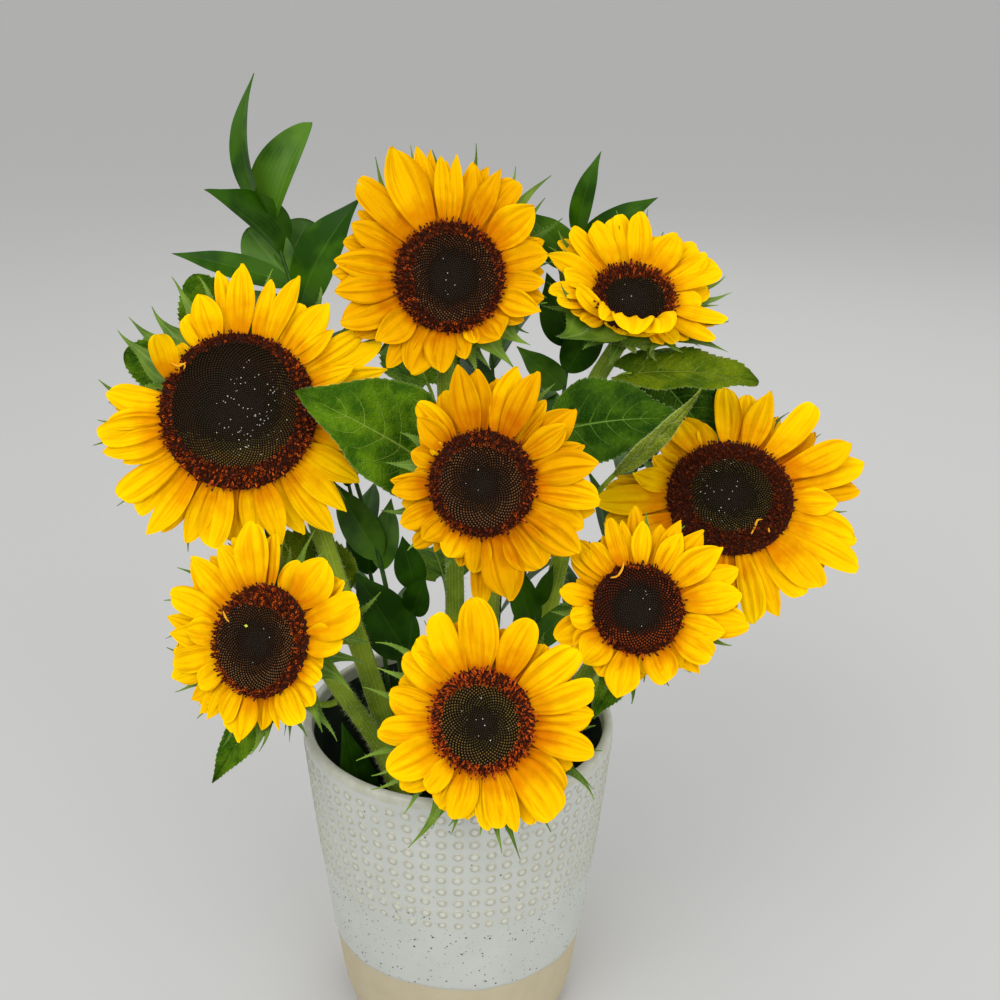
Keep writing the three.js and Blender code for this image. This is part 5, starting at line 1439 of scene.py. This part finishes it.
def florets(bits, face, radius, ring, glow, covered, seed):
    """The open florets round a disc, from its buds out over the roots of the rays, and clubs among them."""
    spread = radius * 0.98
    last = int(math.pi * spread**2 / (FLORET_PITCH**2 * PACKING))
    open_places, open_paints, style_paints, club_places, club_paints = [], [], [], [], []
    for k in range(last):
        r = spread * math.sqrt((k + 0.5) / last)
        a = k * GOLDEN_ANGLE + 0.04 * scatter(seed, k, 11)
        share = r / radius
        start = around(a, ring)
        if share < start or (share > 0.84 and covered[0] < math.degrees(a) % 360 < covered[1]):
            continue
        out = (share - start) / (1 - start)
        lean = 0.1 + 0.9 * out**1.7 + 0.32 * scatter(seed, k, 12)
        heading = a + 0.6 * scatter(seed, k, 13)
        size = 0.86 + 0.2 * scatter(seed, k, 14)
        lit = around(a, glow)
        tall = 1.4 + 0.45 * scatter(seed, k, 15) + 0.5 * out * min(lit, 1)
        point = polar(r, a, disc_height(share) - 0.8)
        place = leaning(point, face, lean, heading, 7 * scatter(seed, k, 16), size, tall)
        spark = scatter(seed, k, 17) * 0.5 + 0.5
        tone = EMBER if spark < lit * 0.55 else (RUST if spark < lit * 0.6 + 0.42 else MAROON)
        cap = TIP if scatter(seed, k, 18) > 1.3 * lit - 1.3 * out else (MAROON if spark > 0.4 * lit else RUST)
        if scatter(seed, k, 19) > 0.1 - 0.5 * lit:
            club_places.append(place)
            club_paints.append([tone] * 20 + [cap] * 15)
        else:
            open_places.append(place)
            open_paints.append([MAROON if tone != EMBER else RUST] * 10 + [tone] * 5)
            style_paints.append([cap] * 5)
    for shape, places, paints in (
        (CLUB, club_places, club_paints),
        (FLORET, open_places, open_paints),
        (STYLE, open_places, style_paints),
    ):
        bits.copies(shape, np.array(places), np.array(paints))


def bract(bits, face, start, heading, length, lift, curl, width, seed, cell):
    """One long pointed bract, broad at its base, with a curling tip. Returns the hairs along its edges."""
    path = ray_path(start, heading, length, lift, curl, 56 * scatter(seed, 16), 34 * scatter(seed, 15), 2.0)
    v = np.linspace(0, 1, 18)[:, None]
    u = np.linspace(-1, 1, 7)[None]
    half = width * 0.72 * (0.95 + 0.4 * np.sin(math.pi * np.clip(v * 1.7, 0, 1))) * (1 - v) ** 1.4 + 0.2
    z = 0.16 * half * u**2 - 0.25 * np.exp(-((u / 0.2) ** 2)) * (1 - v)
    wave = 0.6 * np.sin(v * 9 + 3 * scatter(seed, 17)) * v
    grid = face(on_path(path, v + 0 * u, u * half + wave, z))
    bits.sheet(grid, 1, cell)
    rows = grid[1:-2]
    return [
        hair_places(rows[:, edge], unit(rows[:, edge] - rows[:, 3]), seed * 2 + edge, *BRACT_HAIRS)
        for edge in (0, -1)
    ]


def calyx(name, number, head, face):
    """The green cup behind a flower, with its long bracts and two rounds of short ones at its back."""
    radius = head["disc"] / 2
    _, _, bowl, back = depths(head)
    bits = Bits()
    t = turns(48)
    rows = []
    for share in np.linspace(0, 1, 12):
        r = CUP_NECK + (radius - CUP_NECK) * np.interp(share, [0, 0.36, 0.8, 1], [0, 0.66, 0.98, 1])
        rows.append(circle(r, t, back + (bowl - back) * share))
    bits.sheet(face(np.array(rows)), 0, (0.72, 0.02, 0.26, 0.96), closed=True)
    bits.cap(face(rows[0][::-1]), face(np.array([0, 0, back])))
    hairs = []
    long = len(BRACTS[name])
    for i in range(long + SHORT_BRACTS):
        seed = (number + 1) * 60 + i
        cell = cell_of(i, long + SHORT_BRACTS, 0.7)
        if i < long:
            degrees, reach, width = BRACTS[name][i]
            angle = math.radians(degrees)
            lift = min(around(angle, head["lift"]), 40) - 14 + 6 * scatter(seed, 13)
            start = polar(radius * 0.93, angle, bowl - 0.8)
            curl = 20 + 26 * scatter(seed, 18)
            heading, length = aim(face, start, polar(radius + reach, angle)[:2], lift, curl, 2.0)
        else:
            outer = (i - long) % 2
            heading = angle = (i - long + 0.4 * scatter(seed, 11)) * 2 * math.pi / SHORT_BRACTS
            root = radius * (0.62, 0.82)[outer]
            start = polar(root, angle, bowl - (5.5, 2.6)[outer] * radius / 30)
            lift = min(around(angle, head["lift"]), 40) - (38, 26)[outer] + 6 * scatter(seed, 13)
            lift += TUCKED.get(name, 0)
            width = SHORT_WIDTH
            length = (0.66, 0.72)[outer] * around(angle, head["bracts"]) + radius - root
            curl = 22 + 30 * scatter(seed, 14)
        hairs += bract(bits, face, start, heading, length, lift, curl, width, seed, cell)
    bits.copies(HAIR_SHAPE, np.concatenate(hairs), 2)
    make("calyx_bracts_" + name, bits, [CALYX_GREEN, BRACT_GREEN, HAIR], ["calyx_" + name])


# Stage

FLOOR_REACH = 90.0
AIR_LIGHT = 0.82
# Each lamp's place in metres, its side and its watts. They all look at the same point.
LAMPS = {
    "key_lamp": ((-0.9, -1.5, 1.8), 1.3, 23),
    "fill_lamp": ((1.1, -1.5, 1.1), 1.4, 13),
    "back_lamp": ((0.5, 1.4, 1.6), 1.2, 8),
}
LIT_POINT = (0, 0, 0.28)
# The photograph's camera: its lens and sensor, how far its picture is shifted and how far down it looks.
LENS, SENSOR, SHIFT, PITCH = 46.8, 36, 0.042, 21.8


def studio():
    """A wide pale floor, soft lamps and the photograph's camera."""
    scene = bpy.context.scene
    mesh = bpy.data.meshes.new("studio_floor")
    corners = [(x * FLOOR_REACH, y * FLOOR_REACH, 0) for x, y in ((-1, -1), (1, -1), (1, 1), (-1, 1))]
    mesh.from_pydata(corners, [], [(0, 1, 2, 3)])
    mesh.materials.append(finish("studio_grey", 0.8, 0.1, (187, 187, 186)))
    floor = bpy.data.objects.new("studio_floor", mesh)
    scene.collection.objects.link(floor)
    world = bpy.data.worlds.new("studio_air")
    scene.world = world
    world.use_nodes = True
    air = world.node_tree.nodes["Background"].inputs
    air[0].default_value = (1, 1, 1, 1)
    air[1].default_value = AIR_LIGHT
    for name, (place, side, watts) in LAMPS.items():
        light = bpy.data.lights.new(name, "AREA")
        light.energy, light.size = watts, side
        lamp = bpy.data.objects.new(name, light)
        lamp.location = place
        x, y, z = unit(np.array(LIT_POINT) - place)
        lamp.rotation_euler = (math.acos(-z), 0, math.atan2(y, x) - math.pi / 2)
        scene.collection.objects.link(lamp)
    eye = bpy.data.cameras.new("eye")
    eye.lens, eye.sensor_width, eye.shift_x = LENS, SENSOR, SHIFT
    eye.clip_start, eye.clip_end = 0.01, 400
    camera = bpy.data.objects.new("eye", eye)
    camera.location = np.array(EYE) * MM
    camera.rotation_euler = (math.radians(90 - PITCH), 0, 0)
    scene.collection.objects.link(camera)
    scene.camera = camera
    scene.view_settings.view_transform = "Standard"


studio()
pot()
pot_dots()
fill()
stems()
for number, name in enumerate(LEAVES):
    sunflower_leaf(name, number)
for number, name in enumerate(SPRIGS):
    sprig(name, number)
for number, (name, head) in enumerate(HEADS.items()):
    face = Face(head)
    rays(name, number, head, face)
    disc(name, number, head, face)
    calyx(name, number, head, face)
